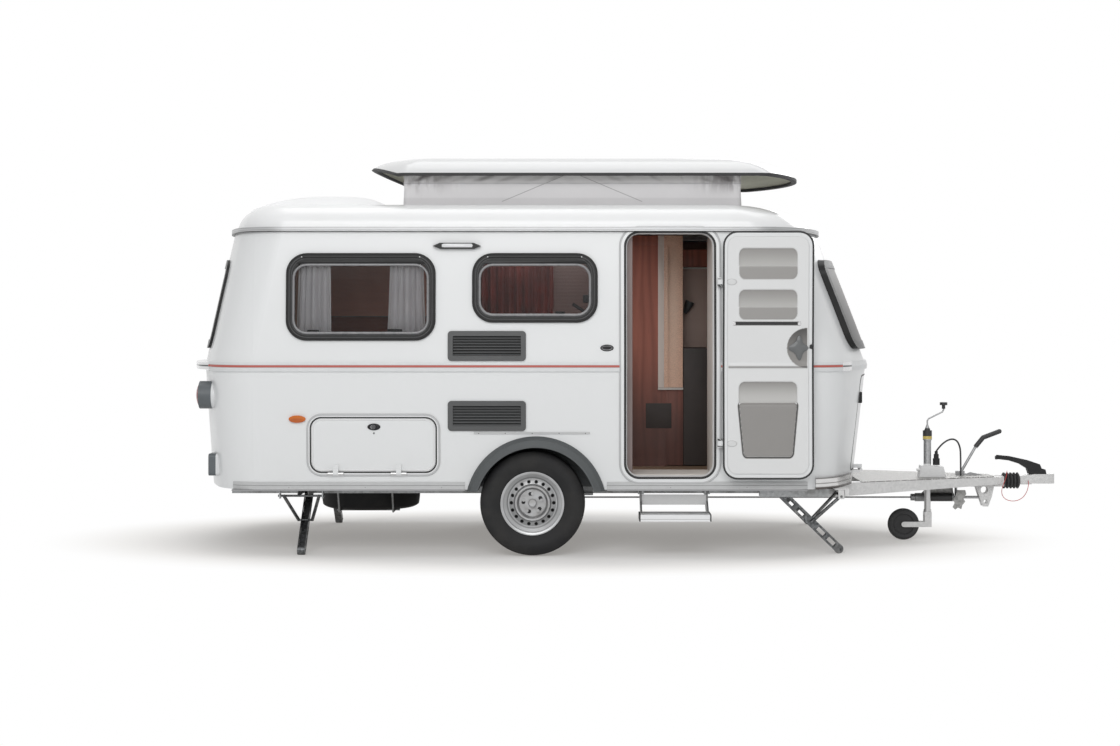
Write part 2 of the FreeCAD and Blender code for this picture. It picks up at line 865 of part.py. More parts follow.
def locker_lid():
    lid = shell.common(locker_prism())
    pieces = [lid]
    for x in locker_hinge_x:
        third = locker_hinge_width / 3
        start = x - third / 2
        barrel = cylinder(Vector(start, locker_axis_y, locker_axis_z), Vector(1, 0, 0),
                          hinge_barrel_radius, third)
        arm = box(start, start + third, locker_axis_y, -lower_side_at(locker_sill) + wall / 2,
                  locker_sill, locker_sill + hinge_arm_length)
        link = box(start, start + third, locker_axis_y - hinge_barrel_radius,
                   locker_axis_y + hinge_barrel_radius / 2, locker_axis_z, locker_sill + hinge_arm_length / 2)
        bore = cylinder(Vector(start - 1, locker_axis_y, locker_axis_z), Vector(1, 0, 0),
                        hinge_pin_radius + hinge_fit, third + 2)
        pieces.append(fuse([barrel, arm, link]).cut(body_inner).cut(bore))
    lock_x = (locker_rear + locker_front) / 2
    lock = cylinder(Vector(lock_x, -belt_half_width - trim_stand, locker_head - 2 * hinge_arm_length / 1.7),
                    Vector(0, 1, 0), 14.0, 20.0).cut(body_inner)
    return fuse(pieces + [lock])


def locker_hinges():
    pieces = []
    for x in locker_hinge_x:
        third = locker_hinge_width / 3
        parts = []
        for start in (x - 1.5 * third - 0.5, x + third / 2 + 0.5):
            parts.append(cylinder(Vector(start, locker_axis_y, locker_axis_z), Vector(1, 0, 0),
                                  hinge_barrel_radius, third))
            parts.append(box(start, start + third, locker_axis_y,
                             -lower_side_at(locker_sill) + wall,
                             locker_axis_z - hinge_barrel_radius, locker_axis_z + hinge_barrel_radius / 3))
        parts.append(cylinder(Vector(x - 1.5 * third, locker_axis_y, locker_axis_z), Vector(1, 0, 0),
                              hinge_pin_radius, 3 * third))
        plate = box(x - 1.5 * third, x + 1.5 * third, locker_axis_y + hinge_barrel_radius,
                    -lower_side_at(locker_sill) + wall,
                    locker_axis_z - 1.6 * hinge_barrel_radius, locker_axis_z - 0.4 * hinge_barrel_radius)
        parts.append(plate)
        pieces.append(fuse(parts).cut(trim_form))
    return pieces


def front_at(z):
    """Station of the front wall's middle at a height below the belt."""
    share = (belt_z - z) / (belt_z - bottom_z)
    return belt_front - share * lower_front_inset


gas_axis_z = gas_sill - gas_hinge_drop
gas_axis_x = front_at(gas_sill) + gas_hinge_out


def gas_lid():
    lid = shell.common(gas_prism())
    pieces = [lid]
    third = locker_hinge_width / 3
    for y in (-gas_hinge_y, gas_hinge_y):
        start = y - third / 2
        barrel = cylinder(Vector(gas_axis_x, start, gas_axis_z), Vector(0, 1, 0), hinge_barrel_radius, third)
        arm = box(gas_axis_x - corner_radius / 4, gas_axis_x + hinge_barrel_radius, start, start + third,
                  gas_sill, gas_sill + hinge_arm_length / 2)
        link = box(gas_axis_x - hinge_barrel_radius / 2, gas_axis_x + hinge_barrel_radius,
                   start, start + third, gas_axis_z, gas_sill + hinge_arm_length / 3)
        bore = cylinder(Vector(gas_axis_x, start - 1, gas_axis_z), Vector(0, 1, 0),
                        hinge_pin_radius + hinge_fit, third + 2)
        pieces.append(fuse([barrel, arm, link]).cut(body_inner).cut(bore))
    handle = end_prism(30.0, gas_handle_z - 42.0, gas_handle_z + 42.0, 28.0,
                       belt_front - corner_radius, belt_front + overrun)
    knob = body(14.0).cut(body_inner).common(handle)
    return fuse(pieces + [knob])


def gas_hinges():
    pieces = []
    third = locker_hinge_width / 3
    for y in (-gas_hinge_y, gas_hinge_y):
        parts = []
        for start in (y - 1.5 * third - 0.5, y + third / 2 + 0.5):
            parts.append(cylinder(Vector(gas_axis_x, start, gas_axis_z), Vector(0, 1, 0),
                                  hinge_barrel_radius, third))
            parts.append(box(gas_axis_x - corner_radius / 4, gas_axis_x, start, start + third,
                             gas_axis_z - hinge_barrel_radius, gas_axis_z - hinge_barrel_radius / 4))
        parts.append(cylinder(Vector(gas_axis_x, y - 1.5 * third, gas_axis_z), Vector(0, 1, 0),
                              hinge_pin_radius, 3 * third))
        parts.append(box(gas_axis_x - corner_radius / 4, gas_axis_x - hinge_barrel_radius / 2,
                         y - 1.5 * third, y + 1.5 * third,
                         gas_axis_z - 2.0 * hinge_barrel_radius, gas_axis_z - 0.9 * hinge_barrel_radius).cut(cylinder(
                             Vector(gas_axis_x, y - third / 2 - 0.5, gas_axis_z), Vector(0, 1, 0),
                             hinge_barrel_radius + 1, third + 1)))
        pieces.append(fuse(parts).cut(body_outer))
    return pieces


# Rails and lamps

def belt_band():
    slab = box(-belt_rear - overrun, belt_front + overrun, -side_y, side_y,
               belt_z - belt_rail_height / 2, belt_z + belt_rail_height / 2)
    return body(belt_rail_stand).cut(body_outer).common(slab)


def belt_rail():
    """The moulding round the waist, cut for the entrance, with the rear rubbing bar."""
    band = belt_band().cut(door_prism(door_trim_width))
    bar_wire = section(belt_z - bumper_height / 2, belt_rear + bumper_reach - rear_bar_sink,
                       belt_front, bumper_half_width, 0.0)
    bar = Part.Face(bar_wire).extrude(Vector(0, 0, bumper_height))
    bar = bar.common(box(-belt_rear - 2 * overrun, -belt_rear + corner_radius, -side_y, side_y,
                         bottom_z, eaves_z)).cut(body_outer)
    bar = bar.cut(box(-belt_rear + corner_radius / 2, 0, -side_y, side_y, bottom_z, eaves_z))
    return fuse([band, bar])


rear_bar_sink = 0.0


def gutter_rail():
    top = section(gutter_low, belt_rear - upper_rear_inset, belt_front - upper_front_inset,
                  belt_half_width - upper_side_inset, gutter_stand)
    ring = Part.Face(top).extrude(Vector(0, 0, gutter_high - gutter_low))
    return ring.cut(fuse([body_outer, roof_form(), box(
        -belt_rear + 2 * corner_radius, belt_front - 3 * corner_radius,
        -belt_half_width + corner_radius, belt_half_width - corner_radius, gutter_low, gutter_high)]))


def skirt_rails():
    rails = []
    form = body(skirt_stand)
    low = bottom_z - skirt_drop
    for side in (-1, 1):
        for x0, x1 in ((skirt_rear, arch_x - arch_outer_radius - 2), (arch_x + arch_outer_radius + 2, skirt_front)):
            slab = box(x0, x1, min(0, side * side_y), max(0, side * side_y), bottom_z, bottom_z + skirt_height)
            strip = form.common(slab).cut(body_outer)
            if side < 0:
                strip = strip.cut(door_prism(door_trim_width + seat_gap))
            foot_y0 = side * (belt_half_width - lower_side_inset - 2 * wall)
            foot_y1 = side * (belt_half_width - lower_side_inset + skirt_stand)
            foot = box(x0, x1, min(foot_y0, foot_y1), max(foot_y0, foot_y1), low, bottom_z)
            rails.append(fuse([strip, foot]))
    return rails


def awning_strip():
    layer = body(skirt_stand).cut(body_outer)
    return layer.common(box(awning_strip_x[0], awning_strip_x[1], -side_y, 0,
                            awning_strip_z - awning_strip_height / 2,
                            awning_strip_z + awning_strip_height / 2))


def wheel_arches():
    """A flared lip outside the wall and a tub behind it, turned about the arch's centre."""
    pieces = []
    for side in (-1, 1):
        y = lambda out: side * out
        wall_y = belt_half_width - 0.6 * lower_side_inset
        flare = [
            Vector(arch_outer_radius, y(wall_y - 12), 0), Vector(arch_outer_radius, y(wall_y + 8), 0),
            Vector(arch_outer_radius - 22, y(belt_half_width + 0.62 * arch_stand), 0),
            Vector(arch_inner_radius + 8, y(belt_half_width + arch_stand), 0),
            Vector(arch_inner_radius, y(belt_half_width + arch_stand), 0),
            Vector(arch_inner_radius, y(belt_half_width - arch_tub_depth), 0),
            Vector(1.0, y(belt_half_width - arch_tub_depth), 0),
            Vector(1.0, y(belt_half_width - arch_tub_depth - arch_wall), 0),
            Vector(arch_inner_radius + arch_wall, y(belt_half_width - arch_tub_depth - arch_wall), 0),
            Vector(arch_inner_radius + arch_wall, y(wall_y - 12), 0),
        ]
        face = Part.Face(Part.makePolygon(flare + [flare[0]]))
        ring = face.revolve(Vector(0, 0, 0), Vector(0, 1, 0), 360)
        ring.translate(Vector(arch_x, 0, arch_z))
        ring = ring.cut(box(-2 * arch_outer_radius, 2 * arch_outer_radius, -2 * side_y, 2 * side_y,
                            -arch_outer_radius, bottom_z - skirt_drop))
        ring = ring.cut(box(arch_x - arch_cut_radius, arch_x + arch_cut_radius,
                            -rail_y - rail_width, rail_y + rail_width, 0, eaves_z))
        outside = ring.common(body_outer).common(shell)
        pieces.append(ring.cut(outside.cut(arch_cut(side))))
    return pieces


def hump_form(drop=0.0):
    """The raised part of the roof behind the hatch; drop gives the hollow below its skin."""
    top = roof_levels[-1][0]
    half = hump_half_width - drop
    base = top - 40
    points = []
    for i, (x, share) in enumerate(zip(hump_stations, hump_rise_shares)):
        inset = drop if i == 0 else -drop if i == len(hump_stations) - 1 else 0.0
        points.append(Vector(x + inset, -half, top - hump_sink - drop + (hump_sink + hump_rise) * share))
    curve = Part.BSplineCurve()
    curve.interpolate(points)
    foot_a, foot_b = Vector(points[0].x, -half, base - drop), Vector(points[-1].x, -half, base - drop)
    outline = Part.Wire([
        curve.toShape(), Part.LineSegment(points[-1], foot_b).toShape(),
        Part.LineSegment(foot_b, foot_a).toShape(), Part.LineSegment(foot_a, points[0]).toShape()])
    hump = Part.Face(outline).extrude(Vector(0, 2 * half, 0))
    for side in (-1, 1):
        start = hump_stations[0] - 1
        hump = hump.cut(prism(
            [Vector(start, side * (half + 1), base - 2 * drop - 40), Vector(start, side * (half + 1), top + 200),
             Vector(start, side * (half - hump_side_slope), top + 200),
             Vector(start, side * (half - 14), base - 2 * drop - 40)],
            Vector(hump_stations[-1] - hump_stations[0] + 2, 0, 0)))
    return hump


def roof_shell():
    """The moulded roof with its rear hump, hollow below and open at the hatch."""
    top = roof_levels[-1][0]
    inner = roof_form(-roof_thickness, (0.0, 0.0, 1.0, 1.0)).fuse(hump_form(roof_thickness))
    inner = inner.fuse(flat_prism(-belt_rear + belt_half_width, hatch_front, hatch_half_width, hatch_radius,
                                  eaves_z - 1, roof_levels[0][0] + 1))
    roof = roof_form().fuse(hump_form()).cut(inner)
    hatch = flat_prism(hatch_rear, hatch_front, hatch_half_width, hatch_radius, eaves_z, top + 100)
    return roof.cut(hatch)


# Lifting roof

def tray_wire(z, inset, off=0.0):
    """The tray's plan outline: straight sides and bowed ends; inset is a share of the top's draw-in."""
    half = tray_half_width - inset * tray_side_inset + off
    rear_tip = tray_rear_tip + inset * tray_rear_inset - off
    front_tip = tray_front_tip - inset * tray_front_inset + off
    rear_corner = tray_rear_corner + inset * tray_rear_inset - off
    front_corner = tray_front_corner - inset * tray_front_inset + off
    p = {
        "rl": Vector(rear_corner, half, z), "rr": Vector(rear_corner, -half, z),
        "fl": Vector(front_corner, half, z), "fr": Vector(front_corner, -half, z),
    }
    r = tray_corner_radius
    edges = [
        Part.Arc(p["rl"] + Vector(0, -r / 2, 0), Vector(rear_tip, 0, z), p["rr"] + Vector(0, r / 2, 0)),
        Part.LineSegment(p["rr"] + Vector(r, 0, 0), p["fr"] - Vector(r, 0, 0)),
        Part.Arc(p["fr"] + Vector(0, r / 2, 0), Vector(front_tip, 0, z), p["fl"] + Vector(0, -r / 2, 0)),
        Part.LineSegment(p["fl"] - Vector(r, 0, 0), p["rl"] + Vector(r, 0, 0)),
    ]
    links = []
    for i, edge in enumerate(edges):
        a, b = edge.EndPoint, edges[(i + 1) % 4].StartPoint
        ta, tb = edge.tangent(edge.LastParameter)[0], edges[(i + 1) % 4].tangent(
            edges[(i + 1) % 4].FirstParameter)[0]
        ta, tb = Vector(ta), Vector(tb)
        reach = (b - a).Length / 3
        curve = Part.BezierCurve()
        curve.setPoles([a, a + ta.normalize() * reach, b - tb.normalize() * reach, b])
        links.append(curve)
    wire = []
    for edge, link in zip(edges, links):
        wire += [edge.toShape(), link.toShape()]
    return Part.Wire(wire)


def tray_form(off=0.0, drop=0.0):
    mid_z = tray_rim_z + tray_mid_height_share * (tray_top_z - tray_rim_z) - drop
    skirt = Part.Face(tray_wire(tray_rim_z - tray_skirt, 0.0, off)).extrude(Vector(0, 0, tray_skirt))
    dome = Part.makeLoft([
        tray_wire(tray_rim_z, 0.0, off), tray_wire(mid_z, tray_mid_inset_share, off),
        tray_wire(tray_top_z - drop, 1.0, off),
        tray_wire(tray_top_z + tray_crown_height - drop, tray_crown_inset_share, off)], True, False)
    return skirt.fuse(dome)


def rim_region(low, high, rear_to=None):
    """A block whose foot follows the rim: level, and rising behind the rear corners."""
    rear = tray_rear_tip - overrun
    slope = tray_rear_rise / (tray_rear_corner - tray_rear_tip)
    rise = slope * (tray_rear_corner - rear)
    front = tray_front_tip + overrun
    width = 2 * tray_half_width + 2 * overrun
    start = -tray_half_width - overrun
    points = [
        Vector(front, start, low), Vector(tray_rear_corner, start, low), Vector(rear, start, low + rise),
        Vector(rear, start, high + rise), Vector(tray_rear_corner, start, high), Vector(front, start, high)]
    return prism(points, Vector(0, width, 0))


def roof_tray():
    """The lifting roof's moulding, with room inside for the tent's corners, and the frame that holds the tent."""
    hollow = tray_form(-tray_thickness, tray_thickness)
    tent_room = flat_prism(tent_rear - seat_gap, tent_front + seat_gap, tent_half_width + seat_gap,
                           tent_radius + seat_gap, tray_rim_z - overrun, tent_top_z + seat_gap)
    tray = tray_form().cut([hollow, tent_room]).common(rim_region(tray_rim_z, tray_top_z + overrun))
    outer = flat_prism(tent_rear, tent_front, tent_half_width, tent_radius,
                       tent_top_z + seat_gap, tray_top_z - tray_thickness / 2)
    inner = flat_prism(tent_rear + tray_frame_thickness, tent_front - tray_frame_thickness,
                       tent_half_width - tray_frame_thickness, tent_radius - tray_frame_thickness / 2,
                       tent_top_z - 1, tray_top_z)
    frame = outer.cut(inner).common(tray_form(-tray_thickness / 2, tray_thickness / 2))
    return fuse([tray, frame])


def roof_seal():
    ring = tray_form(seal_out).cut(tray_form(-tray_thickness - seal_out, tray_thickness))
    return ring.common(rim_region(tray_rim_z - seal_height - seat_gap, tray_rim_z - seat_gap))


def tent():
    foot = roof_levels[-1][0] + tent_foot_rise
    outer = flat_prism(tent_rear, tent_front, tent_half_width, tent_radius, foot, tent_top_z)
    inner = flat_prism(tent_rear + tent_thickness, tent_front - tent_thickness,
                       tent_half_width - tent_thickness, tent_radius - tent_thickness, foot - 1, tent_top_z + 1)
    return outer.cut(inner)


# Wheels and axle

def turn_profile(points, centre, axis=Vector(0, 1, 0)):
    """A solid turned from (radius, y) points about a line along Y through centre."""
    face = Part.Face(Part.makePolygon([Vector(r, y, 0) for r, y in points] + [Vector(points[0][0], points[0][1], 0)]))
    solid = face.revolve(Vector(0, 0, 0), axis, 360)
    solid.translate(centre)
    return solid


def tyre_shape(centre, radius, width, seat):
    """A tyre with round shoulders and bulging walls, hollow, on its bead seats."""
    half = width / 2

    def flank(sign, skin):
        return [
            Vector(seat + seat_gap, sign * (half * 0.755 - 0.5 * skin), 0),
            Vector(seat + 15.0, sign * (half * 0.80 - 0.8 * skin), 0),
            Vector((seat + radius) / 2, sign * (half - skin), 0),
            Vector(radius - 28.0 - 0.5 * skin, sign * (half * 0.93 - skin), 0),
            Vector(radius - 7.0 - 1.6 * skin, sign * (half * 0.78 - skin), 0)]

    def curve(points):
        spline = Part.BSplineCurve()
        spline.interpolate(points)
        return spline.toShape()

    left, right = flank(1, 0.0), flank(-1, 0.0)
    in_left, in_right = flank(1, tyre_wall), flank(-1, tyre_wall)
    crown = Part.Arc(left[-1], Vector(radius, 0, 0), right[-1])
    in_crown = Part.Arc(in_left[-1], Vector(radius - 1.5 * tyre_wall, 0, 0), in_right[-1])
    outline = Part.Wire([
        curve(left), crown.toShape(), curve(right), Part.LineSegment(right[0], in_right[0]).toShape(),
        curve(in_right), in_crown.toShape(), curve(in_left), Part.LineSegment(in_left[0], left[0]).toShape()])
    solid = Part.Face(outline).revolve(Vector(0, 0, 0), Vector(0, 1, 0), 360)
    solid.translate(centre)
    return solid


def rim_shape(centre, side):
    """A pressed steel wheel: flanged and stepped rim, disc with a ring of holes, drum and hub."""
    half = 0.78 * tyre_width / 2
    s = side
    outer = [
        (rim_radius, s * (half + 8)), (rim_radius, s * (half + 3)), (rim_seat_radius, s * (half - 1)),
        (rim_seat_radius, s * 0.55 * half), (rim_well_radius, s * 0.35 * half),
        (rim_well_radius, -s * 0.25 * half), (rim_seat_radius, -s * 0.5 * half),
        (rim_seat_radius, -s * (half - 1)), (rim_radius, -s * (half + 3)), (rim_radius, -s * (half + 8)),
    ]
    inner = [(r - rim_wall - 1, y) for r, y in reversed(outer)]
    rim = turn_profile(outer + inner, centre)
    face = s * (half + 8 - disc_offset)
    t = disc_thickness
    crest = s * (half + 8 - 0.42 * disc_offset)
    disc_outer = [
        (rim_well_radius, face), (vent_hole_circle + 14, face), (vent_hole_circle - 14, face + s * 12),
        (104.0, crest), (94.0, crest), (80.0, face + s * 6), (0.0, face + s * 6),
    ]
    disc_inner = [(r, y - s * t) for r, y in reversed(disc_outer)]
    disc = turn_profile(disc_outer + disc_inner, centre)
    holes = []
    for i in range(vent_hole_count):
        a = 2 * math.pi * i / vent_hole_count
        holes.append(cylinder(
            centre + Vector(vent_hole_circle * math.cos(a), -side_y / 4, vent_hole_circle * math.sin(a)),
            Vector(0, 1, 0), vent_hole_radius, side_y / 2))
    disc = disc.cut(Part.makeCompound(holes))
    inner_face = face + s * (6 - t)
    hub_length = abs(inner_face - (-s * half)) + 4
    drum = turn_profile(
        [(0.0, inner_face), (drum_radius, inner_face), (drum_radius, inner_face - s * drum_width),
         (0.0, inner_face - s * drum_width)], centre)
    cap = turn_profile(
        [(0.0, inner_face), (hub_bore_radius, inner_face), (hub_bore_radius, face + s * 26),
         (hub_bore_radius - 6, face + s * 32), (0.0, face + s * 32)], centre)
    studs = []
    for i in range(stud_count):
        a = math.pi / 2 + 2 * math.pi * i / stud_count
        base = centre + Vector(stud_circle * math.cos(a), inner_face, stud_circle * math.sin(a))
        studs.append(cylinder(base, Vector(0, s, 0), stud_radius, 24.0))
    bore = cylinder(centre + Vector(0, inner_face - s * drum_width - s, 0), Vector(0, s, 0),
                    stub_radius + stub_fit, stub_reach + 1)
    return fuse([rim, disc, drum, cap] + studs).cut(bore), inner_face - s * drum_width


wheel_y = tyre_outer_y - tyre_width / 2


def wheel_parts(side):
    centre = Vector(0, side * wheel_y, tyre_radius)
    tyre = tyre_shape(centre, tyre_radius, tyre_width, rim_seat_radius)
    rim, drum_back = rim_shape(centre, side)
    return tyre, rim, side * wheel_y + drum_back


def axle():
    """The cross tube, a trailing arm each side, and the stub that carries each wheel."""
    half = axle_tube_side / 2
    tube_half_length = swing_arm_y - arm_width_y / 2
    pieces = [box(axle_tube_x - half, axle_tube_x + half, -tube_half_length, tube_half_length,
                  axle_tube_z - half, axle_tube_z + half)]
    drum_back = abs(wheel_parts(1)[2])
    arm_half = swing_arm_height / 2
    for side in (-1, 1):
        y0 = side * swing_arm_y - arm_width_y / 2
        arm = prism(
            [Vector(axle_tube_x + half, y0, axle_tube_z + half), Vector(axle_tube_x + half, y0, axle_tube_z - half),
             Vector(0, y0, tyre_radius - arm_half), Vector(-arm_half, y0, tyre_radius - arm_half / 2),
             Vector(-arm_half, y0, tyre_radius + arm_half / 2), Vector(0, y0, tyre_radius + arm_half)],
            Vector(0, arm_width_y, 0))
        stub = cylinder(Vector(0, side * swing_arm_y, tyre_radius), Vector(0, side, 0), stub_radius,
                        drum_back + stub_reach - 4 - swing_arm_y)
        pieces += [arm, stub]
    return fuse(pieces)


# Chassis and drawbar

def rail(x0, x1, side):
    """A C-shaped side rail, open inwards."""
    y_out = side * (rail_y + rail_width / 2)
    y_in = side * (rail_y - rail_width / 2)
    top, foot = rail_top_z, rail_top_z - rail_height
    solid = box(x0, x1, min(y_out, y_in), max(y_out, y_in), foot, top)
    cut_y = side * (rail_y + rail_width / 2 - rail_web)
    hollow = box(x0 - 1, x1 + 1, min(cut_y, y_in - side * 5), max(cut_y, y_in - side * 5),
                 foot + rail_web, top - rail_web)
    return solid.cut(hollow)


def drawbar_arm(side):
    """One arm of the A-frame, tapering in height towards its tip."""
    a = Vector(arm_root_x, side * arm_root_y, 0)
    b = Vector(arm_tip_x, side * arm_tip_y, 0)
    along = (b - a).normalize()
    across = Vector(-along.y, along.x, 0) * (arm_width / 2)
    top = arm_top_z
    start = [a - across, a + across]
    end = [b - across, b + across]

    def face(pair, height):
        return Part.makePolygon([
            pair[0] + Vector(0, 0, top - height), pair[1] + Vector(0, 0, top - height),
            pair[1] + Vector(0, 0, top), pair[0] + Vector(0, 0, top),
            pair[0] + Vector(0, 0, top - height)])

    return Part.makeLoft([face(start, arm_root_height), face(end, arm_tip_height)], True, True)


def step_rails():
    """Two channels under the floor, open below, that the step's runners slide in."""
    rails = []
    for x in step_runner_x:
        outer = box(x - step_channel_width / 2, x + step_channel_width / 2, step_channel_y[0], step_channel_y[1],
                    rail_top_z - step_channel_height, rail_top_z)
        inner_half = step_runner_width / 2 + step_clearance
        hollow = box(x - inner_half, x + inner_half, step_channel_y[0] - 1, step_channel_y[1] + 1,
                     step_runner_z[0] - step_clearance, step_runner_z[1] + step_clearance)
        mouth = box(x - step_web_thickness / 2 - step_clearance, x + step_web_thickness / 2 + step_clearance,
                    step_channel_y[0] - 1, step_channel_y[1] + 1, 0, step_runner_z[1])
        rails.append(outer.cut(hollow).cut(mouth))
    return rails


def chassis():
    """Side rails, cross members, the A-frame, the overrun housing, and what hangs from them."""
    rails = [rail(-1900.0, 1840.0, s) for s in (-1, 1)]
    crosses = []
    for x in cross_stations:
        crosses.append(box(x - 20, x + 20, -rail_y, rail_y, rail_top_z - cross_height, rail_top_z))
    front_cross = box(1790.0, 1840.0, -arm_root_y - 20, arm_root_y + 20, rail_top_z - cross_height, rail_top_z)
    jacks = []
    for side in (-1, 1):
        y0, y1 = sorted((side * (rail_y - 15), side * (rail_y + 70)))
        jacks.append(box(axle_tube_x + 110, axle_tube_x + 200, y0, y1, rail_top_z - rail_height - 8,
                         rail_top_z - rail_height + 6))
    out_arms = []
    for side in (-1, 1):
        y0, y1 = sorted((side * rail_y, side * (front_steady_y + steady_spread + 12)))
        out_arms.append(box(front_steady_x + 20, front_steady_x + 46, y0, y1, rail_top_z - 40, rail_top_z))
        y0, y1 = sorted((side * rail_y, side * 918))
        for x in step_rail_ties:
            out_arms.append(box(x, x + 24, y0, y1, rail_top_z - 10, rail_top_z))
    pieces = rails + crosses + [front_cross] + jacks + out_arms + [drawbar_arm(-1), drawbar_arm(1)]
    tube_housing = box(overrun_rear, housing_front, -arm_tip_y - 4, arm_tip_y + 4,
                       overrun_z - housing_half, arm_top_z)
    nose = cylinder(Vector(cover_front + 6, 0, overrun_z), Vector(1, 0, 0), overrun_radius + 8,
                    housing_front - cover_front - 6)
    lever_plate = []
    for y in (-34.0, 28.0):
        plate = prism(
            [Vector(2825, y, 372), Vector(2960, y, 372), Vector(2938, y, 268), Vector(2915, y, 205),
             Vector(2880, y, 205), Vector(2858, y, 268)], Vector(0, 6, 0))
        plate = plate.cut(cylinder(Vector(2890, y - 1, 312), Vector(0, 1, 0), 24.0, 8.0))
        plate = plate.cut(cylinder(Vector(2898, y - 1, 236), Vector(0, 1, 0), 13.0, 8.0))
        lever_plate.append(plate)
    bore = cylinder(Vector(overrun_rear - 1, 0, overrun_z), Vector(1, 0, 0), overrun_radius - 1 + seat_gap,
                    housing_front - overrun_rear + 2)
    pieces += [tube_housing, nose] + lever_plate + step_rails() + [spare_cradle()]
    for name, origin, along, across in steady_sites():
        pieces.append(steady_bracket(origin, along, across))
    return fuse(pieces).cut(bore)


def arm_y_at(x):
    share = (x - arm_root_x) / (arm_tip_x - arm_root_x)
    return arm_root_y + share * (arm_tip_y - arm_root_y)


def drawbar_cover():
    """The tread plate over the A-frame, slotted for the handbrake and holed for the jockey tube."""
    half0 = arm_y_at(cover_rear) + arm_width / 2 - cover_lap
    half1 = arm_y_at(cover_front) + arm_width / 2 - cover_lap
    z = arm_top_z + seat_gap
    plate = prism(
        [Vector(cover_rear, -half0, z), Vector(cover_front, -half1, z),
         Vector(cover_front, half1, z), Vector(cover_rear, half0, z)], Vector(0, 0, cover_thickness))
    hole = cylinder(Vector(jockey_x, jockey_y, z - 1), Vector(0, 0, 1), jockey_tube_radius + 12, 10)
    return plate.cut(hole)


cover_top = arm_top_z + seat_gap + cover_thickness


def coupling_head():
    """A pressed coupling: socket for the ball, open below, on the overrun tube."""
    outline = [
        Vector(coupling_rear, -24, 0), Vector(coupling_rear, 24, 0), Vector(ball_x - 60, coupling_half_width, 0),
        Vector(ball_x + 10, coupling_half_width, 0), Vector(front_reach - 14, 26, 0),
        Vector(front_reach, 12, 0), Vector(front_reach, -12, 0), Vector(front_reach - 14, -26, 0),
        Vector(ball_x + 10, -coupling_half_width, 0), Vector(ball_x - 60, -coupling_half_width, 0)]
    top = ball_mouth_z + ball_socket_depth + ball_radius + 12
    block = prism([p + Vector(0, 0, ball_mouth_z) for p in outline], Vector(0, 0, top - ball_mouth_z))
    r = ball_radius + ball_fit
    socket = fuse([
        cylinder(Vector(ball_x, 0, ball_mouth_z - 1), Vector(0, 0, 1), r, ball_socket_depth + 1),
        Part.makeSphere(r, Vector(ball_x, 0, ball_mouth_z + ball_socket_depth))])
    flare = prism(
        [Vector(coupling_rear - 1, -60, top + 1), Vector(coupling_rear - 1, -60, top - 14),
         Vector(ball_x - 70, -60, top + 1)], Vector(0, 120, 0))
    tube = cylinder(Vector(housing_front - 120, 0, overrun_z), Vector(1, 0, 0), overrun_radius - 1,
                    coupling_rear - housing_front + 200)
    under = box(coupling_rear - 1, ball_x - 46, -15, 15, ball_mouth_z - 1, overrun_z - 6)
    return fuse([block.cut(flare).cut(under), tube]).cut(socket)


def coupling_handle():
    """The handle over the coupling: a long grip that widens into a hood."""
    top = ball_mouth_z + ball_socket_depth + ball_radius + 12 + seat_gap - 1
    side = [(2966, 524), (2978, 535), (3060, 527), (3180, 500), (3250, 476), (3262, 448), (3286, 442),
            (3292, top + 1), (3180, top + 1), (3168, 448), (3120, 478), (3050, 500), (2985, 508), (2968, 506)]
    hood = prism([Vector(x, -27, z) for x, z in side], Vector(0, 54, 0))
    hollow = prism([Vector(x, -21, z) for x, z in ((3188, 400), (3280, 400), (3280, 434), (3200, 440))],
                   Vector(0, 42, 0))
    grip = prism([Vector(x, 0, z) for x, z in (
        (2900, -30), (2900, -13), (3060, -13), (3190, -30))], Vector(0, 0, 1))
    pare = []
    for s in (-1, 1):
        pare.append(prism([Vector(2900, s * 14, 400), Vector(3080, s * 14, 400), Vector(3170, s * 28, 400),
                           Vector(2900, s * 28, 400)], Vector(0, 0, 200)))
    return hood.cut(hollow).cut(fuse(pare))


def bellows():
    """A corrugated rubber sleeve over the overrun tube."""
    points = []
    length = bellows_front - bellows_rear
    pitch = length / bellows_folds
    x = bellows_rear
    points.append((bellows_root, x))
    for i in range(bellows_folds):
        points.append((bellows_radius, x + 0.35 * pitch))
        points.append((bellows_radius, x + 0.65 * pitch))
        points.append((bellows_root, x + pitch))
        x += pitch
    inner = [(r - bellows_wall, px) for r, px in reversed(points)]
    face = Part.Face(Part.makePolygon(
        [Vector(px, r, 0) for r, px in points + inner] + [Vector(points[0][1], points[0][0], 0)]))
    solid = face.revolve(Vector(0, 0, 0), Vector(1, 0, 0), 360)
    solid.translate(Vector(0, 0, overrun_z))
    return solid


def handbrake():
    """A lever with a bent grip, pivoted on a lug that stands through the cover."""
    y = 22.0
    base = Vector(2745, y, cover_top + 12)
    knee, bend, tip = Vector(2843, y, 585), Vector(2893, y, 646), Vector(2998, y, 686)
    bar = rod([base, knee], 9.0)
    grip = rod([knee, bend, tip], 15.0)
    knob = Part.makeSphere(15.0, tip)
    lug = box(base.x - 30, base.x + 26, y - 14, y + 14, cover_top + seat_gap, cover_top + 26)
    quadrant = prism(
        [Vector(base.x + 10, y - 22, cover_top + seat_gap), Vector(base.x + 150, y - 22, cover_top + seat_gap),
         Vector(base.x + 60, y - 22, cover_top + 20)], Vector(0, 6, 0))
    link = box(base.x + 20, base.x + 30, y - 22, y, cover_top + seat_gap, cover_top + 12)
    return fuse([bar, grip, knob, lug, quadrant, link])


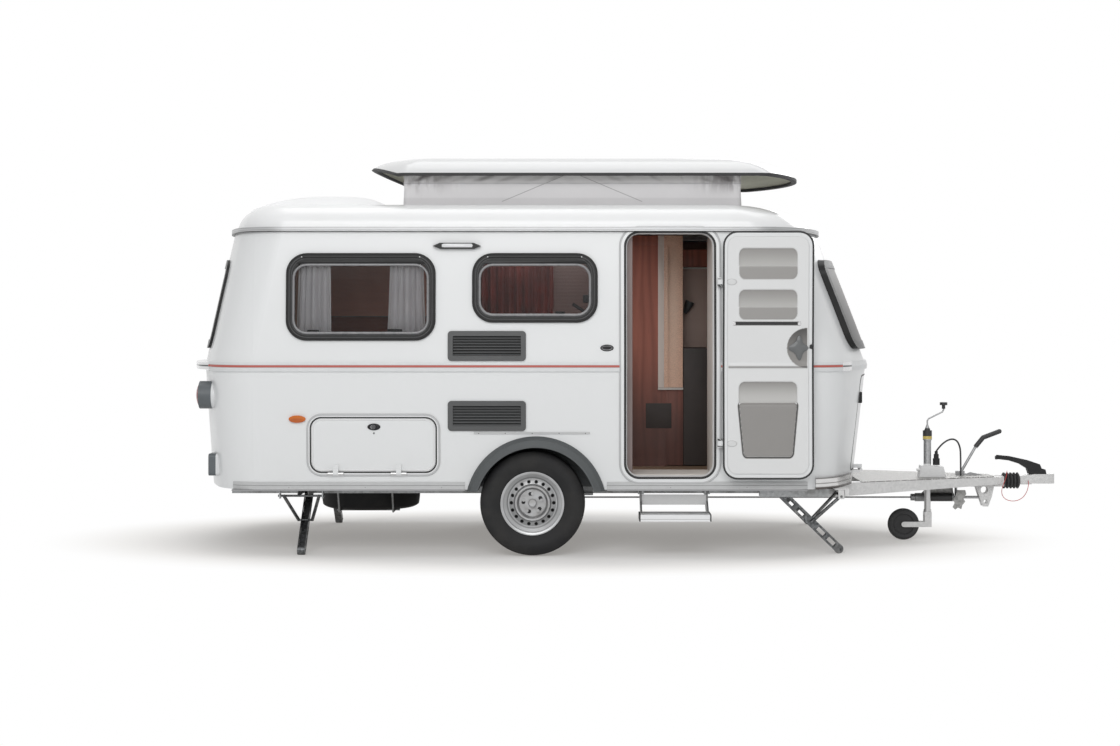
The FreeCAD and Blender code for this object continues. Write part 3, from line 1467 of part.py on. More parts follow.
def brake_gear():
    """Brake rod from the overrun lever to the axle, with its gas spring below the drawbar."""
    rod_z = 262.0
    front = 2440.0
    rear = axle_tube_x + axle_tube_side / 2 + seat_gap
    balance = box(rear, rear + 14, -90, 90, rod_z - 10, rod_z + 26)
    brake_rod = rod([Vector(rear + 10, 0, rod_z), Vector(front, 0, rod_z)], 5.0)
    spring = cylinder(Vector(front + 8, 0, rod_z), Vector(1, 0, 0), 27.0, 250.0)
    cap = cylinder(Vector(front - 20, 0, rod_z), Vector(1, 0, 0), 22.0, 28.0)
    piston = cylinder(Vector(front + 250, 0, rod_z), Vector(1, 0, 0), 9.0, 170.0)
    hanger = box(front + 268, front + 276, -26, 26, rod_z - 20, overrun_z - housing_half - seat_gap)
    return fuse([brake_rod, spring, cap, piston, hanger, balance])


def jockey_post():
    """The outer tube in its clamp box, with the winding crank on top."""
    foot = jockey_tube_foot
    tube = cylinder(Vector(jockey_x, jockey_y, foot), Vector(0, 0, 1), jockey_tube_radius, jockey_tube_top - foot)
    bore = cylinder(Vector(jockey_x, jockey_y, foot - 1), Vector(0, 0, 1), jockey_tube_bore,
                    jockey_tube_top - foot - 14)
    collar = cylinder(Vector(jockey_x, jockey_y, jockey_tube_top - 62), Vector(0, 0, 1),
                      jockey_tube_radius + 5, 62)
    cone = Part.makeCone(jockey_tube_radius - 4, crank_radius, 38, Vector(jockey_x, jockey_y, jockey_tube_top))
    z = cover_top + seat_gap
    side = [Vector(2452, jockey_y - 42, z), Vector(2624, jockey_y - 42, z),
            Vector(2606, jockey_y - 42, z + 66), Vector(2464, jockey_y - 42, z + 72)]
    clamp = prism(side, Vector(0, 84, 0))
    clamp = clamp.cut(box(2470, 2600, jockey_y - 36, jockey_y + 36, z - 1, z + 60))
    guide = cylinder(Vector(jockey_x, jockey_y, z), Vector(0, 0, 1), jockey_tube_radius + 8, 66)
    handle = rod([Vector(jockey_x, jockey_y, jockey_tube_top + 20), Vector(jockey_x, jockey_y, 762),
                  Vector(jockey_x + 10, jockey_y, 776), Vector(jockey_x + 96, jockey_y, 818),
                  Vector(jockey_x + 104, jockey_y, 832), Vector(jockey_x + 104, jockey_y, 852)], crank_radius)
    knob = fuse([
        cylinder(Vector(jockey_x + 104, jockey_y, 838), Vector(0, 0, 1), 11.0, 26),
        cylinder(Vector(jockey_x + 104, jockey_y, 862), Vector(0, 0, 1), 24.0, 18)])
    lever = rod([Vector(2440, jockey_y - 10, z + 44), Vector(2475, jockey_y - 10, z + 44)], 9.0)
    return fuse([tube, collar, cone, clamp, guide, handle, knob, lever]).cut(bore)


def jockey_stem():
    """The inner tube that the crank winds up and down; the fork turns on its lower end."""
    tube = cylinder(Vector(jockey_x, jockey_y, jockey_stem_foot), Vector(0, 0, 1), jockey_stem_radius,
                    jockey_stem_top - jockey_stem_foot)
    collar = cylinder(Vector(jockey_x, jockey_y, jockey_stem_foot), Vector(0, 0, 1),
                      jockey_stem_radius + 4, 14)
    bore = cylinder(Vector(jockey_x, jockey_y, jockey_stem_foot - 1), Vector(0, 0, 1),
                    jockey_stem_bore + hinge_fit, 81)
    return fuse([tube, collar]).cut(bore)


def jockey_fork():
    """A castor fork: a pin up into the stem, a crown, and two arms that trail to the wheel's axle."""
    inner = jockey_wheel_width / 2 + jockey_fork_gap
    outer = inner + jockey_fork_plate
    crown_z = jockey_stem_foot - 0.5
    pin = cylinder(Vector(jockey_x, jockey_y, crown_z - 20), Vector(0, 0, 1), jockey_stem_bore, 94)
    crown = box(jockey_x - 22, jockey_x + 22, jockey_y - outer, jockey_y + outer, crown_z - 20, crown_z)
    arms = []
    z0, z1 = jockey_wheel_radius - jockey_fork_height / 2, jockey_wheel_radius + jockey_fork_height / 2
    for s in (-1, 1):
        y = jockey_y + s * inner - (jockey_fork_plate if s < 0 else 0)
        leg = box(jockey_x - 22, jockey_x + 22, y, y + jockey_fork_plate, z0, crown_z)
        reach = fuse([
            box(jockey_x - jockey_trail, jockey_x + 22, y, y + jockey_fork_plate, z0, z1),
            cylinder(Vector(jockey_x - jockey_trail, y, jockey_wheel_radius), Vector(0, 1, 0),
                     jockey_fork_height / 2, jockey_fork_plate)])
        arms += [leg, reach]
    web = box(jockey_x - 14, jockey_x + 22, jockey_y - inner - 1, jockey_y + inner + 1,
              jockey_wheel_radius - 8, jockey_wheel_radius + 8)
    axle_pin = cylinder(Vector(jockey_x - jockey_trail, jockey_y - outer - 4, jockey_wheel_radius),
                        Vector(0, 1, 0), jockey_axle_radius, 2 * outer + 8)
    return fuse([pin, crown, web, axle_pin] + arms)


def jockey_wheel():
    half = jockey_wheel_width / 2
    r = jockey_wheel_radius
    profile = [
        (jockey_axle_radius + hinge_fit, half + 4), (18.0, half + 4), (18.0, half - 8), (62.0, half - 8),
        (66.0, half - 1), (r - 16, half), (r - 5, half - 5), (r, half - 15),
        (r, -half + 15), (r - 5, -half + 5), (r - 16, -half), (66.0, -half + 1), (62.0, -half + 8),
        (18.0, -half + 8), (18.0, -half - 4), (jockey_axle_radius + hinge_fit, -half - 4)]
    return turn_profile(profile, Vector(jockey_x - jockey_trail, jockey_y, r))


# Steadies. Each is worked out in a plane: s runs from the brace pivot towards the leg's sliding end,
# h is height from the pivot, and w runs across. The two triangles are isosceles, so the foot
# rises straight under the brace pivot as the leg folds.

steady_angle = math.asin((steady_pivot_z - steady_foot_radius) / steady_leg_length)


def steady_place(origin, along, across):
    def place(s, w, h):
        return origin + along * s + across * w + Vector(0, 0, h)
    return place


def steady_sites():
    for side in (-1, 1):
        name = "right" if side < 0 else "left"
        yield "front_" + name, Vector(front_steady_x, side * front_steady_y, steady_pivot_z), \
            Vector(-1, 0, 0), Vector(0, 1, 0)
        yield "rear_" + name, Vector(rear_steady_x, side * rear_steady_y, steady_pivot_z), \
            Vector(0, -side, 0), Vector(1, 0, 0)


def steady_leg(origin, along, across):
    """A slotted channel from the sliding pin down to the foot roller."""
    place = steady_place(origin, along, across)
    b, big = steady_brace_length, steady_leg_length
    c, n = math.cos(steady_angle), math.sin(steady_angle)
    top_s = 2 * b * c
    half_w, half_d = steady_leg_width / 2, steady_leg_depth / 2

    def at(t, w, d):
        """t runs down the leg from the sliding pin, d is square to it, towards the brace's side."""
        return place(top_s - t * c + d * n, w, -t * n - d * c)

    def bar(t0, t1, w0, w1, d0, d1):
        face = [at(t0, w0, d0), at(t1, w0, d0), at(t1, w0, d1), at(t0, w0, d1)]
        return prism(face, across * (w1 - w0))

    end = half_d
    solid = bar(0, big, -half_w, half_w, -half_d, half_d)
    for t in (0, big):
        solid = solid.fuse(cylinder(at(t, -half_w, 0), across, half_d, steady_leg_width))
    web = steady_leg_wall
    hollow = bar(-2 * end, big + 2 * end, -half_w + web, half_w - web, -2 * half_d, half_d - web)
    solid = solid.cut(hollow)
    pitch = (big - 40) / steady_slot_count
    for i in range(steady_slot_count):
        t = 20 + (i + 0.5) * pitch
        if abs(t - b) < 45:
            continue
        solid = solid.cut(bar(t - steady_slot_length / 2, t + steady_slot_length / 2, -half_w - 1, half_w + 1,
                              -steady_slot_height / 2, steady_slot_height / 2))
    joint = cylinder(at(b, -half_w - 1, 0), across, steady_pin_radius + steady_pin_fit, steady_leg_width + 2)
    solid = solid.cut(joint)
    roller = cylinder(at(big, -half_w + web + 1, 0), across, steady_foot_radius, steady_leg_width - 2 * web - 2)
    axle_pin = cylinder(at(big, -half_w - 4, 0), across, 6.0, steady_leg_width + 8)
    top_pin = cylinder(at(0, -half_w - 3, 0), across, 6.0, steady_leg_width + 6)
    return fuse([solid, axle_pin, top_pin, roller])


def steady_brace(origin, along, across):
    """A V of two tubes between the pivot rod and the pin through the leg."""
    place = steady_place(origin, along, across)
    b = steady_brace_length
    c, n = math.cos(steady_angle), math.sin(steady_angle)
    pivot = cylinder(place(0, -steady_spread - 12, 0), across, steady_pin_radius, 2 * steady_spread + 24)
    joint = cylinder(place(b * c, -steady_joint_spread - 8, -b * n), across, steady_pin_radius,
                     2 * steady_joint_spread + 16)
    tubes = [
        rod([place(0, s * (steady_spread - 22), 0), place(b * c, s * (steady_joint_spread + 6), -b * n)],
            steady_brace_radius)
        for s in (-1, 1)]
    return fuse([pivot, joint] + tubes)


def steady_bracket(origin, along, across):
    """The plate under the floor: ears for the pivot rod, and the channel that the sliding pin runs in."""
    place = steady_place(origin, along, across)
    top = rail_top_z - steady_pivot_z

    def block(s0, s1, w0, w1, h0, h1):
        return prism([place(s0, w0, h0), place(s1, w0, h0), place(s1, w1, h0), place(s0, w1, h0)],
                     Vector(0, 0, h1 - h0))

    wide = steady_spread + steady_ear_thickness + 3
    plate = block(-26, 40, -wide, wide, top - 5, top)
    ears = []
    for s in (-1, 1):
        w0 = s * (steady_spread - steady_ear_thickness / 2)
        ear = block(-18, 18, min(w0, w0 + s * steady_ear_thickness), max(w0, w0 + s * steady_ear_thickness),
                    -16, top)
        ears.append(ear)
    half = steady_leg_width / 2 + steady_channel_clearance
    far = 2 * steady_brace_length + 8
    roof = block(30, far, -half - steady_channel_wall, half + steady_channel_wall, top - 3, top)
    sides = []
    for s in (-1, 1):
        w0 = s * half
        w1 = s * (half + steady_channel_wall)
        sides.append(block(60, far, min(w0, w1), max(w0, w1), -steady_channel_drop, top))
    bore = cylinder(place(0, -steady_spread - 40, 0), across, steady_pin_radius + steady_pin_fit,
                    2 * steady_spread + 80)
    return fuse([plate, roof] + ears + sides).cut(bore)


# Spare wheel, step, lamps, handles

def spare_wheel():
    solid = tyre_shape(Vector(0, 0, 0), spare_radius, spare_width, rim_seat_radius)
    solid = fuse([solid, turn_profile(
        [(60.0, 30), (rim_seat_radius + 6, 68), (rim_seat_radius + 6, -68), (rim_seat_radius - 10, -68),
         (rim_seat_radius - 10, 40), (60.0, 22)], Vector(0, 0, 0))])
    solid.rotate(Vector(0, 0, 0), Vector(1, 0, 0), 90)
    solid.translate(Vector(spare_x, 0, spare_foot_z + spare_width / 2))
    return solid


def spare_cradle():
    """Wire loops under the spare wheel, welded to the side rails."""
    z = spare_foot_z - cradle_radius - 2 * seat_gap
    high = rail_top_z - rail_height + cradle_radius
    run = rail_y - spare_cradle_slope
    loops = []
    for x in (spare_x - spare_loop_half, spare_x + spare_loop_half):
        loops.append(rod([
            Vector(x, -rail_y, high), Vector(x, -run, z), Vector(x, run, z), Vector(x, rail_y, high)],
            cradle_radius))
    for y in (-spare_tie_y, spare_tie_y):
        loops.append(rod([Vector(spare_x - spare_tie_half, y, z), Vector(spare_x + spare_tie_half, y, z)],
                         cradle_radius))
    return fuse(loops)


def step():
    """A slide-out step: two runners under the floor, arms down to the tread, and a riser between."""
    x0, x1 = step_x
    y0, y1 = step_tread_y
    top = step_tread_z + step_tread_height / 2
    foot = step_tread_z - step_tread_height / 2
    tread = box(x0, x1, y0, y1, foot, top)
    tread = tread.cut(box(x0 + step_wall, x1 - step_wall, y0 + step_wall, y1 - step_wall,
                          foot - 1, top - step_wall))
    riser = box(step_runner_x[0], step_runner_x[1], step_riser_y, step_riser_y + step_wall,
                step_riser_z[0], step_riser_z[1])
    pieces = [tread, riser]
    for x in step_runner_x:
        pieces.append(box(x - step_runner_width / 2, x + step_runner_width / 2, step_runner_y[0], step_runner_y[1],
                          step_runner_z[0], step_runner_z[1]))
        half = step_web_thickness / 2
        pieces.append(prism(
            [Vector(x - half, step_riser_y - 12, step_runner_z[1]), Vector(x - half, step_riser_y - 12, 330),
             Vector(x - half, y0 + 30, step_tread_z + 12), Vector(x - half, y0 + 60, foot),
             Vector(x - half, y1 + 10, foot), Vector(x - half, step_runner_y[1] - 130, 330),
             Vector(x - half, step_runner_y[1] - 130, step_runner_z[1])],
            Vector(step_web_thickness, 0, 0)))
    return fuse(pieces)


awning_light_rear = -591.0
awning_light_front = -305.0
awning_light_z = 1851.0
awning_light_height = 36.0
awning_light_taper = 42.0
awning_light_stand = 34.0
reflector_face_x = -1962.0
reflector_reach = 100.0


def tail_lamps():
    """Round lamp pods low on the rear corners, with a lower reflector block each."""
    pods = []
    for side in (-1, 1):
        pods.append(cylinder(Vector(-2046.0 + 22, side * 740, 955), Vector(1, 0, 0), 84.0, 160.0).cut(body_outer))
        wire = rounded_wire(side * 740 - 70, side * 740 + 70, 468, 600, 20.0, lambda u, v: Vector(reflector_face_x, u, v))
        block = Part.Face(wire).extrude(Vector(reflector_reach, 0, 0))
        pods.append(block.cut(body_outer))
    return pods


def lamp_lenses():
    lenses = []
    for side in (-1, 1):
        centre = Vector(-2046.0 + 22 - seat_gap, side * 740, 955)
        dome = Part.makeSphere(150.0, centre + Vector(128.0, 0, 0)).common(
            cylinder(centre - Vector(40, 0, 0), Vector(1, 0, 0), 72.0, 40.0))
        lenses.append(dome)
    return lenses


def side_markers():
    markers = []
    for side in (-1, 1):
        x, z = -1397.0, 821.0
        ring = Part.Ellipse(Vector(0, 0, 0), 50.0, 22.0).toShape()
        face = Part.Face(Part.Wire([ring]))
        face.rotate(Vector(0, 0, 0), Vector(1, 0, 0), 90)
        face.translate(Vector(x, side * (belt_half_width + 40), z))
        block = face.extrude(Vector(0, -side * 100, 0))
        markers.append(block.common(body(14.0).cut(body(0.0))))
    return markers


def awning_light():
    """A slim lamp over the side: a bar that runs to a point at both ends."""
    low, high = awning_light_z - awning_light_height / 2, awning_light_z + awning_light_height / 2
    outline = prism(
        [Vector(awning_light_rear, -side_y, awning_light_z),
         Vector(awning_light_rear + awning_light_taper, -side_y, high),
         Vector(awning_light_front - awning_light_taper, -side_y, high),
         Vector(awning_light_front, -side_y, awning_light_z),
         Vector(awning_light_front - awning_light_taper, -side_y, low),
         Vector(awning_light_rear + awning_light_taper, -side_y, low)],
        Vector(0, side_y, 0))
    return body(awning_light_stand).cut(body_outer).common(outline)


def grab_handles():
    """Bright corner handles low at the front, one each side."""
    handles = []
    for side in (-1, 1):
        form = section(bottom_z, belt_rear, belt_front - lower_front_inset, belt_half_width - lower_side_inset, 26.0)
        block = Part.Face(form).extrude(Vector(0, 0, 66))
        y0, y1 = sorted((side * 560, side * side_y))
        block = block.common(box(1690, 2000, y0, y1, bottom_z - 1, 470))
        handles.append(block.cut(body_outer))
    return handles


# Lead with its parked plug, and the breakaway cable: both loops held at each end

plug_x, plug_y = 2567.0, -100.0
plug_z = cover_top + seat_gap + 74.0


def plug():
    base = Vector(plug_x, plug_y, plug_z)
    return fuse([
        cylinder(base, Vector(0, 0, 1), 22.0, 42),
        cylinder(base + Vector(0, 0, 42), Vector(0, 0, 1), 16.0, 28),
        cylinder(base + Vector(0, 0, 70), Vector(0, 0, 1), 10.0, 18)])


lead_route = [
    Vector(plug_x, plug_y, plug_z + 88.0),
    Vector(plug_x, plug_y, plug_z + 118.0),
    Vector(plug_x + 24, plug_y + 10, plug_z + 152.0),
    Vector(plug_x + 66, plug_y + 24, plug_z + 166.0),
    Vector(plug_x + 112, plug_y + 40, plug_z + 150.0),
    Vector(plug_x + 146, plug_y + 54, plug_z + 112.0),
    Vector(plug_x + 164, plug_y + 62, plug_z + 66.0),
    Vector(plug_x + 170, plug_y + 66, plug_z + 14.0),
    Vector(plug_x + 170, plug_y + 66, cover_top + seat_gap),
]


def lead():
    return bent_tube(lead_route, lead_radius)


breakaway_route = [
    Vector(3030.0, -58.0, 436.0),
    Vector(3022.0, -84.0, 404.0),
    Vector(3000.0, -97.0, 358.0),
    Vector(2984.0, -97.0, 306.0),
    Vector(3000.0, -92.0, 264.0),
    Vector(3044.0, -85.0, 244.0),
    Vector(3094.0, -77.0, 246.0),
    Vector(3136.0, -69.0, 270.0),
    Vector(3162.0, -60.0, 312.0),
    Vector(3172.0, -49.0, 352.0),
    Vector(3173.0, -31.4, 372.0),
]


def breakaway_cable():
    return bent_tube(breakaway_route, cable_radius)


# Inside

def floor():
    form = body(-wall - seat_gap)
    slab = box(-belt_rear, belt_front, -side_y, side_y, floor_z, floor_z + floor_thickness)
    plate = form.common(slab)
    for side in (-1, 1):
        x = arch_x
        tub = cylinder(Vector(x, side * side_y, arch_z), Vector(0, -side, 0),
                       arch_inner_radius + arch_wall + seat_gap,
                       side_y - belt_half_width + arch_tub_depth + arch_wall + seat_gap)
        plate = plate.cut(tub)
    return plate


def hollow_cabinet(x0, x1, y0, y1, z0, z1, open_side):
    """A panelled cabinet, open on the side that stands against a wall."""
    outer = box(x0, x1, y0, y1, z0, z1)
    iy0 = y0 + (panel if open_side > 0 else -1)
    iy1 = y1 + (1 if open_side > 0 else -panel)
    return outer.cut(box(x0 + panel, x1 - panel, iy0, iy1, z0 + panel, z1 - panel))


def cabinets():
    """Kitchen against the right wall, a wardrobe with a screen, and an overhead locker on the left."""
    form = body(-wall - seat_gap)
    side_inner = belt_half_width - wall
    kitchen = hollow_cabinet(-520, 420, -side_inner - 10, -430, 700, 1330, -1)
    base = hollow_cabinet(-520, 420, -660, -430, furniture_floor, 700, -1)
    wardrobe = hollow_cabinet(430, 850, 300, side_inner, furniture_floor, 1900, 1)
    overhead = hollow_cabinet(850 - panel, 1480, 560, side_inner, 1590, 1880, 1)
    screen = box(850 - panel, 962, 296, 300 + panel, 960, 1900)
    stile = box(850 - panel, 862, 280, 300 + panel, 960, 1900)
    return [fuse([kitchen, base]).common(form), fuse([wardrobe, overhead, screen, stile]).common(form)]


def bench_seats():
    form = body(-wall - seat_gap)
    side_inner = belt_half_width - wall
    bed = box(-2100, -760, -side_inner, side_inner, furniture_floor, 940)
    bed = bed.common(form).cut(box(-2200, -790, -side_inner, side_inner, furniture_floor - 1, 820))
    bench = box(1130, 1640, 200, side_inner - 20, furniture_floor, 900)
    bench = bench.common(form).cut(box(1160, 1610, 230, side_inner - 90, furniture_floor - 1, 780))
    return [bed, bench]


def export(name, solids):
    """Writes one node. Every solid is moved to the finished part's origin first."""
    solids = solids if isinstance(solids, list) else [solids]
    found = [s.copy() for shape in solids for s in shape.Solids]
    for s in found:
        s.translate(Vector(origin_shift, 0, 0))
        if not s.isValid() or s.Volume <= 0:
            print("BAD SOLID in", name, s.isValid(), s.Volume)
    shape = found[0] if len(found) == 1 else Part.makeCompound(found)
    shape.exportStep("parts/%s.step" % name)
    b = shape.BoundBox
    print("%-22s %2d solids  x %7.0f %7.0f  y %6.0f %6.0f  z %6.0f %6.0f  vol %.1f l" % (
        name, len(found), b.XMin, b.XMax, b.YMin, b.YMax, b.ZMin, b.ZMax, shape.Volume / 1e6))


def main():
    os.makedirs("parts", exist_ok=True)
    export("floor", floor())
    export("side_wall_right", side_wall(-1))
    export("side_wall_left", side_wall(1))
    export("rear_wall", rear_wall())
    export("front_wall", front_wall())
    export("roof_shell", roof_shell())
    export("gutter_rail", gutter_rail())
    export("belt_rail", belt_rail())
    export("skirt_rails", skirt_rails() + [awning_strip()])
    export("wheel_arches", wheel_arches())
    export("window_frames", side_window_frames() + end_window_frames())
    export("window_panes", window_panes())
    export("fridge_vents", fridge_vents())
    export("awning_light", awning_light())
    export("tail_lamps", tail_lamps())
    export("lamp_lenses", lamp_lenses() + side_markers())
    export("door_frame", door_frame())
    export("door_leaf", door_leaf())
    export("door_liner", door_liner())
    export("locker_hinges", locker_hinges() + gas_hinges())
    export("locker_lid", locker_lid())
    export("gas_lid", gas_lid())
    export("roof_tray", roof_tray())
    export("roof_seal", roof_seal())
    export("tent", tent())
    export("grab_handles", grab_handles())
    for name, origin, along, across in steady_sites():
        export("steady_leg_" + name, steady_leg(origin, along, across))
        export("steady_brace_" + name, steady_brace(origin, along, across))
    export("chassis", chassis())
    export("drawbar_cover", drawbar_cover())
    export("axle", axle())
    export("coupling_head", coupling_head())
    export("coupling_handle", coupling_handle())
    export("bellows", bellows())
    export("handbrake", handbrake())
    export("brake_gear", brake_gear())
    for name, side in (("right", -1), ("left", 1)):
        tyre, rim, _ = wheel_parts(side)
        export("tyre_" + name, tyre)
        export("wheel_" + name, rim)
    export("jockey_post", jockey_post())
    export("jockey_stem", jockey_stem())
    export("jockey_fork", jockey_fork())
    export("jockey_wheel", jockey_wheel())
    export("spare_wheel", spare_wheel())
    export("step", step())
    export("plug", plug())
    export("lead", lead())
    export("breakaway_cable", breakaway_cable())
    export("cabinets", cabinets())
    export("bench_seats", bench_seats())


main()
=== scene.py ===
import bpy
import math
import numpy as np
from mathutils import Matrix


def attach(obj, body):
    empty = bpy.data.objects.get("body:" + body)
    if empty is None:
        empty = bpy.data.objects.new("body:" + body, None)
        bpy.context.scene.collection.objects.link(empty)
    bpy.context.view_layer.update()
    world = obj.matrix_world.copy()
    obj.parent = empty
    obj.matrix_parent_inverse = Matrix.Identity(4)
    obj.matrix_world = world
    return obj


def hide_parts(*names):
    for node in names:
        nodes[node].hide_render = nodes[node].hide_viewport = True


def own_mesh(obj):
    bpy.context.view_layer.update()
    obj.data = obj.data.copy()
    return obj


# A travel caravan with its roof raised and its door folded back against the side.
# Metres. +X is forward, towards the coupling, +Y is left, +Z is up, and the ground is z = 0.

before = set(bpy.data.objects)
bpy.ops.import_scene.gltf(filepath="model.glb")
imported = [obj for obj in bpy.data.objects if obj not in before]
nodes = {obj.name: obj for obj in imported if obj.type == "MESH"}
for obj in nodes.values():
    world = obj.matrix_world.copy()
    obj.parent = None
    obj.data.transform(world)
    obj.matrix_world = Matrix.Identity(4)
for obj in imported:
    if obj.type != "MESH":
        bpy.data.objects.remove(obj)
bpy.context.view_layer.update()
up = np.array([0.0, 0.0, 1.0])

# Body skin: half width at the belt, how far it draws in at the sill and at the eaves, and the share of each
# inset that grows with the square of the height
sill_z, belt_z, eaves_z = 0.400, 1.131, 1.945
belt_half = 1.000
sill_inset, eaves_inset = 0.025, 0.035
sill_curve, eaves_curve = 0.120, 0.040
front_x, front_inset, front_bow = 1.510, 0.085, 1.800

# Openings in the near side: rear edge, front edge, foot, head
rear_window = (-2.057, -1.176, 1.292, 1.804)
mid_window = (-0.950, -0.212, 1.399, 1.804)
doorway = (-0.044, 0.492, 0.470, 1.935)
locker = (-1.914, -1.170, 0.506, 0.827)
open_door = (0.532, 1.068, 0.470, 1.935)
door_radius = 0.085
door_pin_y = 1.017
wall = 0.026
window_radius = 0.118

# Places along and up the near side: locker lock, road wheel's centre, trim strip over the wheel
locker_lock = (-1.539, 0.774)
wheel_centre = (-0.597, 0.315)
strip_z = 0.736

# Tent of the lifting roof: ends, half width, foot and head, peak of its stitched V, fold above its foot
tent_x, tent_half, tent_z = (-1.393, 0.674), 0.700, (2.1066, 2.345)
tent_peak_x, tent_fold = -0.362, 0.136

# Cabin: floor, head of the furniture, ceiling, and the post with the screen beside it
cabin_floor, board_head, ceiling = 0.443, 1.9003, 1.965
screen_foot, post_span = 0.960, (0.201, 0.2405)


# Shapes

def side_out(z):
    """Half width at height z: the belt's, less an inset that grows as a parabola below and above it."""
    below = (z - sill_z) / (belt_z - sill_z)
    above = (z - belt_z) / (eaves_z - belt_z)
    low = sill_inset * (1 - (1 + sill_curve) * below + sill_curve * below ** 2)
    high = eaves_inset * ((1 - eaves_curve) * above + eaves_curve * above ** 2)
    return belt_half - np.where(z < belt_z, low, high)


def door_inside(z):
    """How far out the open door's inner face lies at height z: the side's inside, mirrored in the pin."""
    return 2 * door_pin_y - side_out(z) + wall


def front_out(y, z):
    """Station of the front wall below the belt: a bow of one radius, drawn back towards the sill."""
    drawn_back = front_inset * (belt_z - z) / (belt_z - sill_z)
    return front_x - drawn_back - front_bow + np.sqrt(front_bow ** 2 - y ** 2)


def grid(points, wrap_rows=False, wrap_columns=False, cap_rows=False):
    """Quads between neighbouring points of rows by columns; cap_rows closes the first and last row."""
    rows, columns = points.shape[:2]
    i, j = np.meshgrid(
        np.arange(rows if wrap_rows else rows - 1),
        np.arange(columns if wrap_columns else columns - 1), indexing="ij")
    i, j = i.ravel(), j.ravel()
    ahead, beside = (i + 1) % rows * columns, (j + 1) % columns
    quads = np.stack([i * columns + j, i * columns + beside, ahead + beside, ahead + j], 1)
    faces = [tuple(q) for q in quads.tolist()]
    if cap_rows:
        faces.append(tuple(range(columns - 1, -1, -1)))
        faces.append(tuple(range((rows - 1) * columns, rows * columns)))
    return points.reshape(-1, 3), faces


def merged(parts):
    """Parts of points and faces as one, each part's faces counted on from the points before it."""
    points, faces, start = [], [], 0
    for part_points, part_faces in parts:
        points.append(part_points)
        faces += [tuple(k + start for k in face) for face in part_faces]
        start += len(part_points)
    return np.concatenate(points), faces


def placed(name, data):
    """A new object in the scene, at the origin."""
    made = bpy.data.objects.new(name, data)
    bpy.context.scene.collection.objects.link(made)
    return made


def piece(name, parts, finish, body, smooth=True, uv=None, sharp=40.0):
    """One mesh object from parts of points and faces, riding on a body; uv has a pair for each point."""
    points, faces = merged(parts)
    mesh = bpy.data.meshes.new(name)
    mesh.from_pydata(points.tolist(), [], faces)
    mesh.materials.append(finish)
    if uv is not None:
        corners = np.zeros(len(mesh.loops), np.int32)
        mesh.loops.foreach_get("vertex_index", corners)
        mesh.uv_layers.new(name="own").data.foreach_set("uv", uv.reshape(-1, 2)[corners].ravel())
    mesh.update()
    made = placed(name, mesh)
    if smooth:
        mesh.shade_smooth()
        if sharp:
            mesh.set_sharp_from_angle(angle=math.radians(sharp))
    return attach(made, body)


def ring_about(axis, count):
    """An axis at unit length, and count unit vectors square to it all round."""
    axis = np.array(axis, float) / np.linalg.norm(axis)
    across = np.cross(axis, up if abs(axis[2]) < 0.9 else np.array([1.0, 0, 0]))
    across /= np.linalg.norm(across)
    angle = np.linspace(0, 2 * np.pi, count, endpoint=False)
    return axis, np.cos(angle)[:, None] * across + np.sin(angle)[:, None] * np.cross(axis, across)


def turned(profile, centre, axis, count=32, closed=False):
    """A surface of revolution: profile holds (radius, distance along the axis), turned in count steps."""
    axis, ring = ring_about(axis, count)
    profile = np.array(profile, float)
    points = np.array(centre) + profile[:, 1, None, None] * axis + profile[:, 0, None, None] * ring
    return grid(points, wrap_rows=closed, wrap_columns=True, cap_rows=not closed)


def domes(places, out, radius, height):
    """Small screw heads: a ring, a smaller ring and a cap at each place, raised along out."""
    out, ring = ring_about(out, 8)
    steps = ((1.0, 0.0), (0.7, 0.8), (0.2, 1.0))
    rings = np.stack([ring * radius * share + out * height * rise for share, rise in steps])
    return [grid(rings + np.array(place), wrap_columns=True, cap_rows=True) for place in places]


def rounded_loop(u0, u1, v0, v1, radius, spacing=0.02, count=None):
    """Points evenly spaced round a rectangle with rounded corners, and the outward normal at each."""
    turn = np.linspace(0, np.pi / 2, 9)
    corners = []
    for k, (u, v) in enumerate(((u1 - radius, v0 + radius), (u1 - radius, v1 - radius),
                                (u0 + radius, v1 - radius), (u0 + radius, v0 + radius))):
        angle = turn + (k - 1) * np.pi / 2
        corners.append(np.stack([u + radius * np.cos(angle), v + radius * np.sin(angle)], 1))
    rough = np.concatenate(corners + [corners[0][:1]])
    steps = np.linalg.norm(np.diff(rough, axis=0), axis=1)
    along = np.concatenate([[0], np.cumsum(steps)])
    count = count or int(along[-1] / spacing)
    even = np.linspace(0, along[-1], count, endpoint=False)
    points = np.stack([np.interp(even, along, rough[:, 0]), np.interp(even, along, rough[:, 1])], 1)
    ahead = np.roll(points, -1, 0) - np.roll(points, 1, 0)
    ahead /= np.linalg.norm(ahead, axis=1)[:, None]
    return points, np.stack([ahead[:, 1], -ahead[:, 0]], 1)


def oval(half_width, half_height, count=10):
    """Cross-section of a bead: an ellipse, as pairs of across and out."""
    angle = np.linspace(0, 2 * np.pi, count, endpoint=False)
    return np.stack([half_width * np.cos(angle), half_height * np.sin(angle)], 1)


def inset(window, by, head=0.0):
    """A window's edges drawn in all round, and once more at the head."""
    return (window[0] + by, window[1] - by, window[2] + by, window[3] - by - head)


def bead_points(window, radius, section, spacing=0.02):
    """A section set across a rounded rectangle's outline: two places in the plane, and the rise off it."""
    loop, normal = rounded_loop(*window, radius, spacing)
    u = loop[:, None, 0] + normal[:, None, 0] * section[None, :, 0]
    v = loop[:, None, 1] + normal[:, None, 1] * section[None, :, 0]
    return u, v, section[None, :, 1]


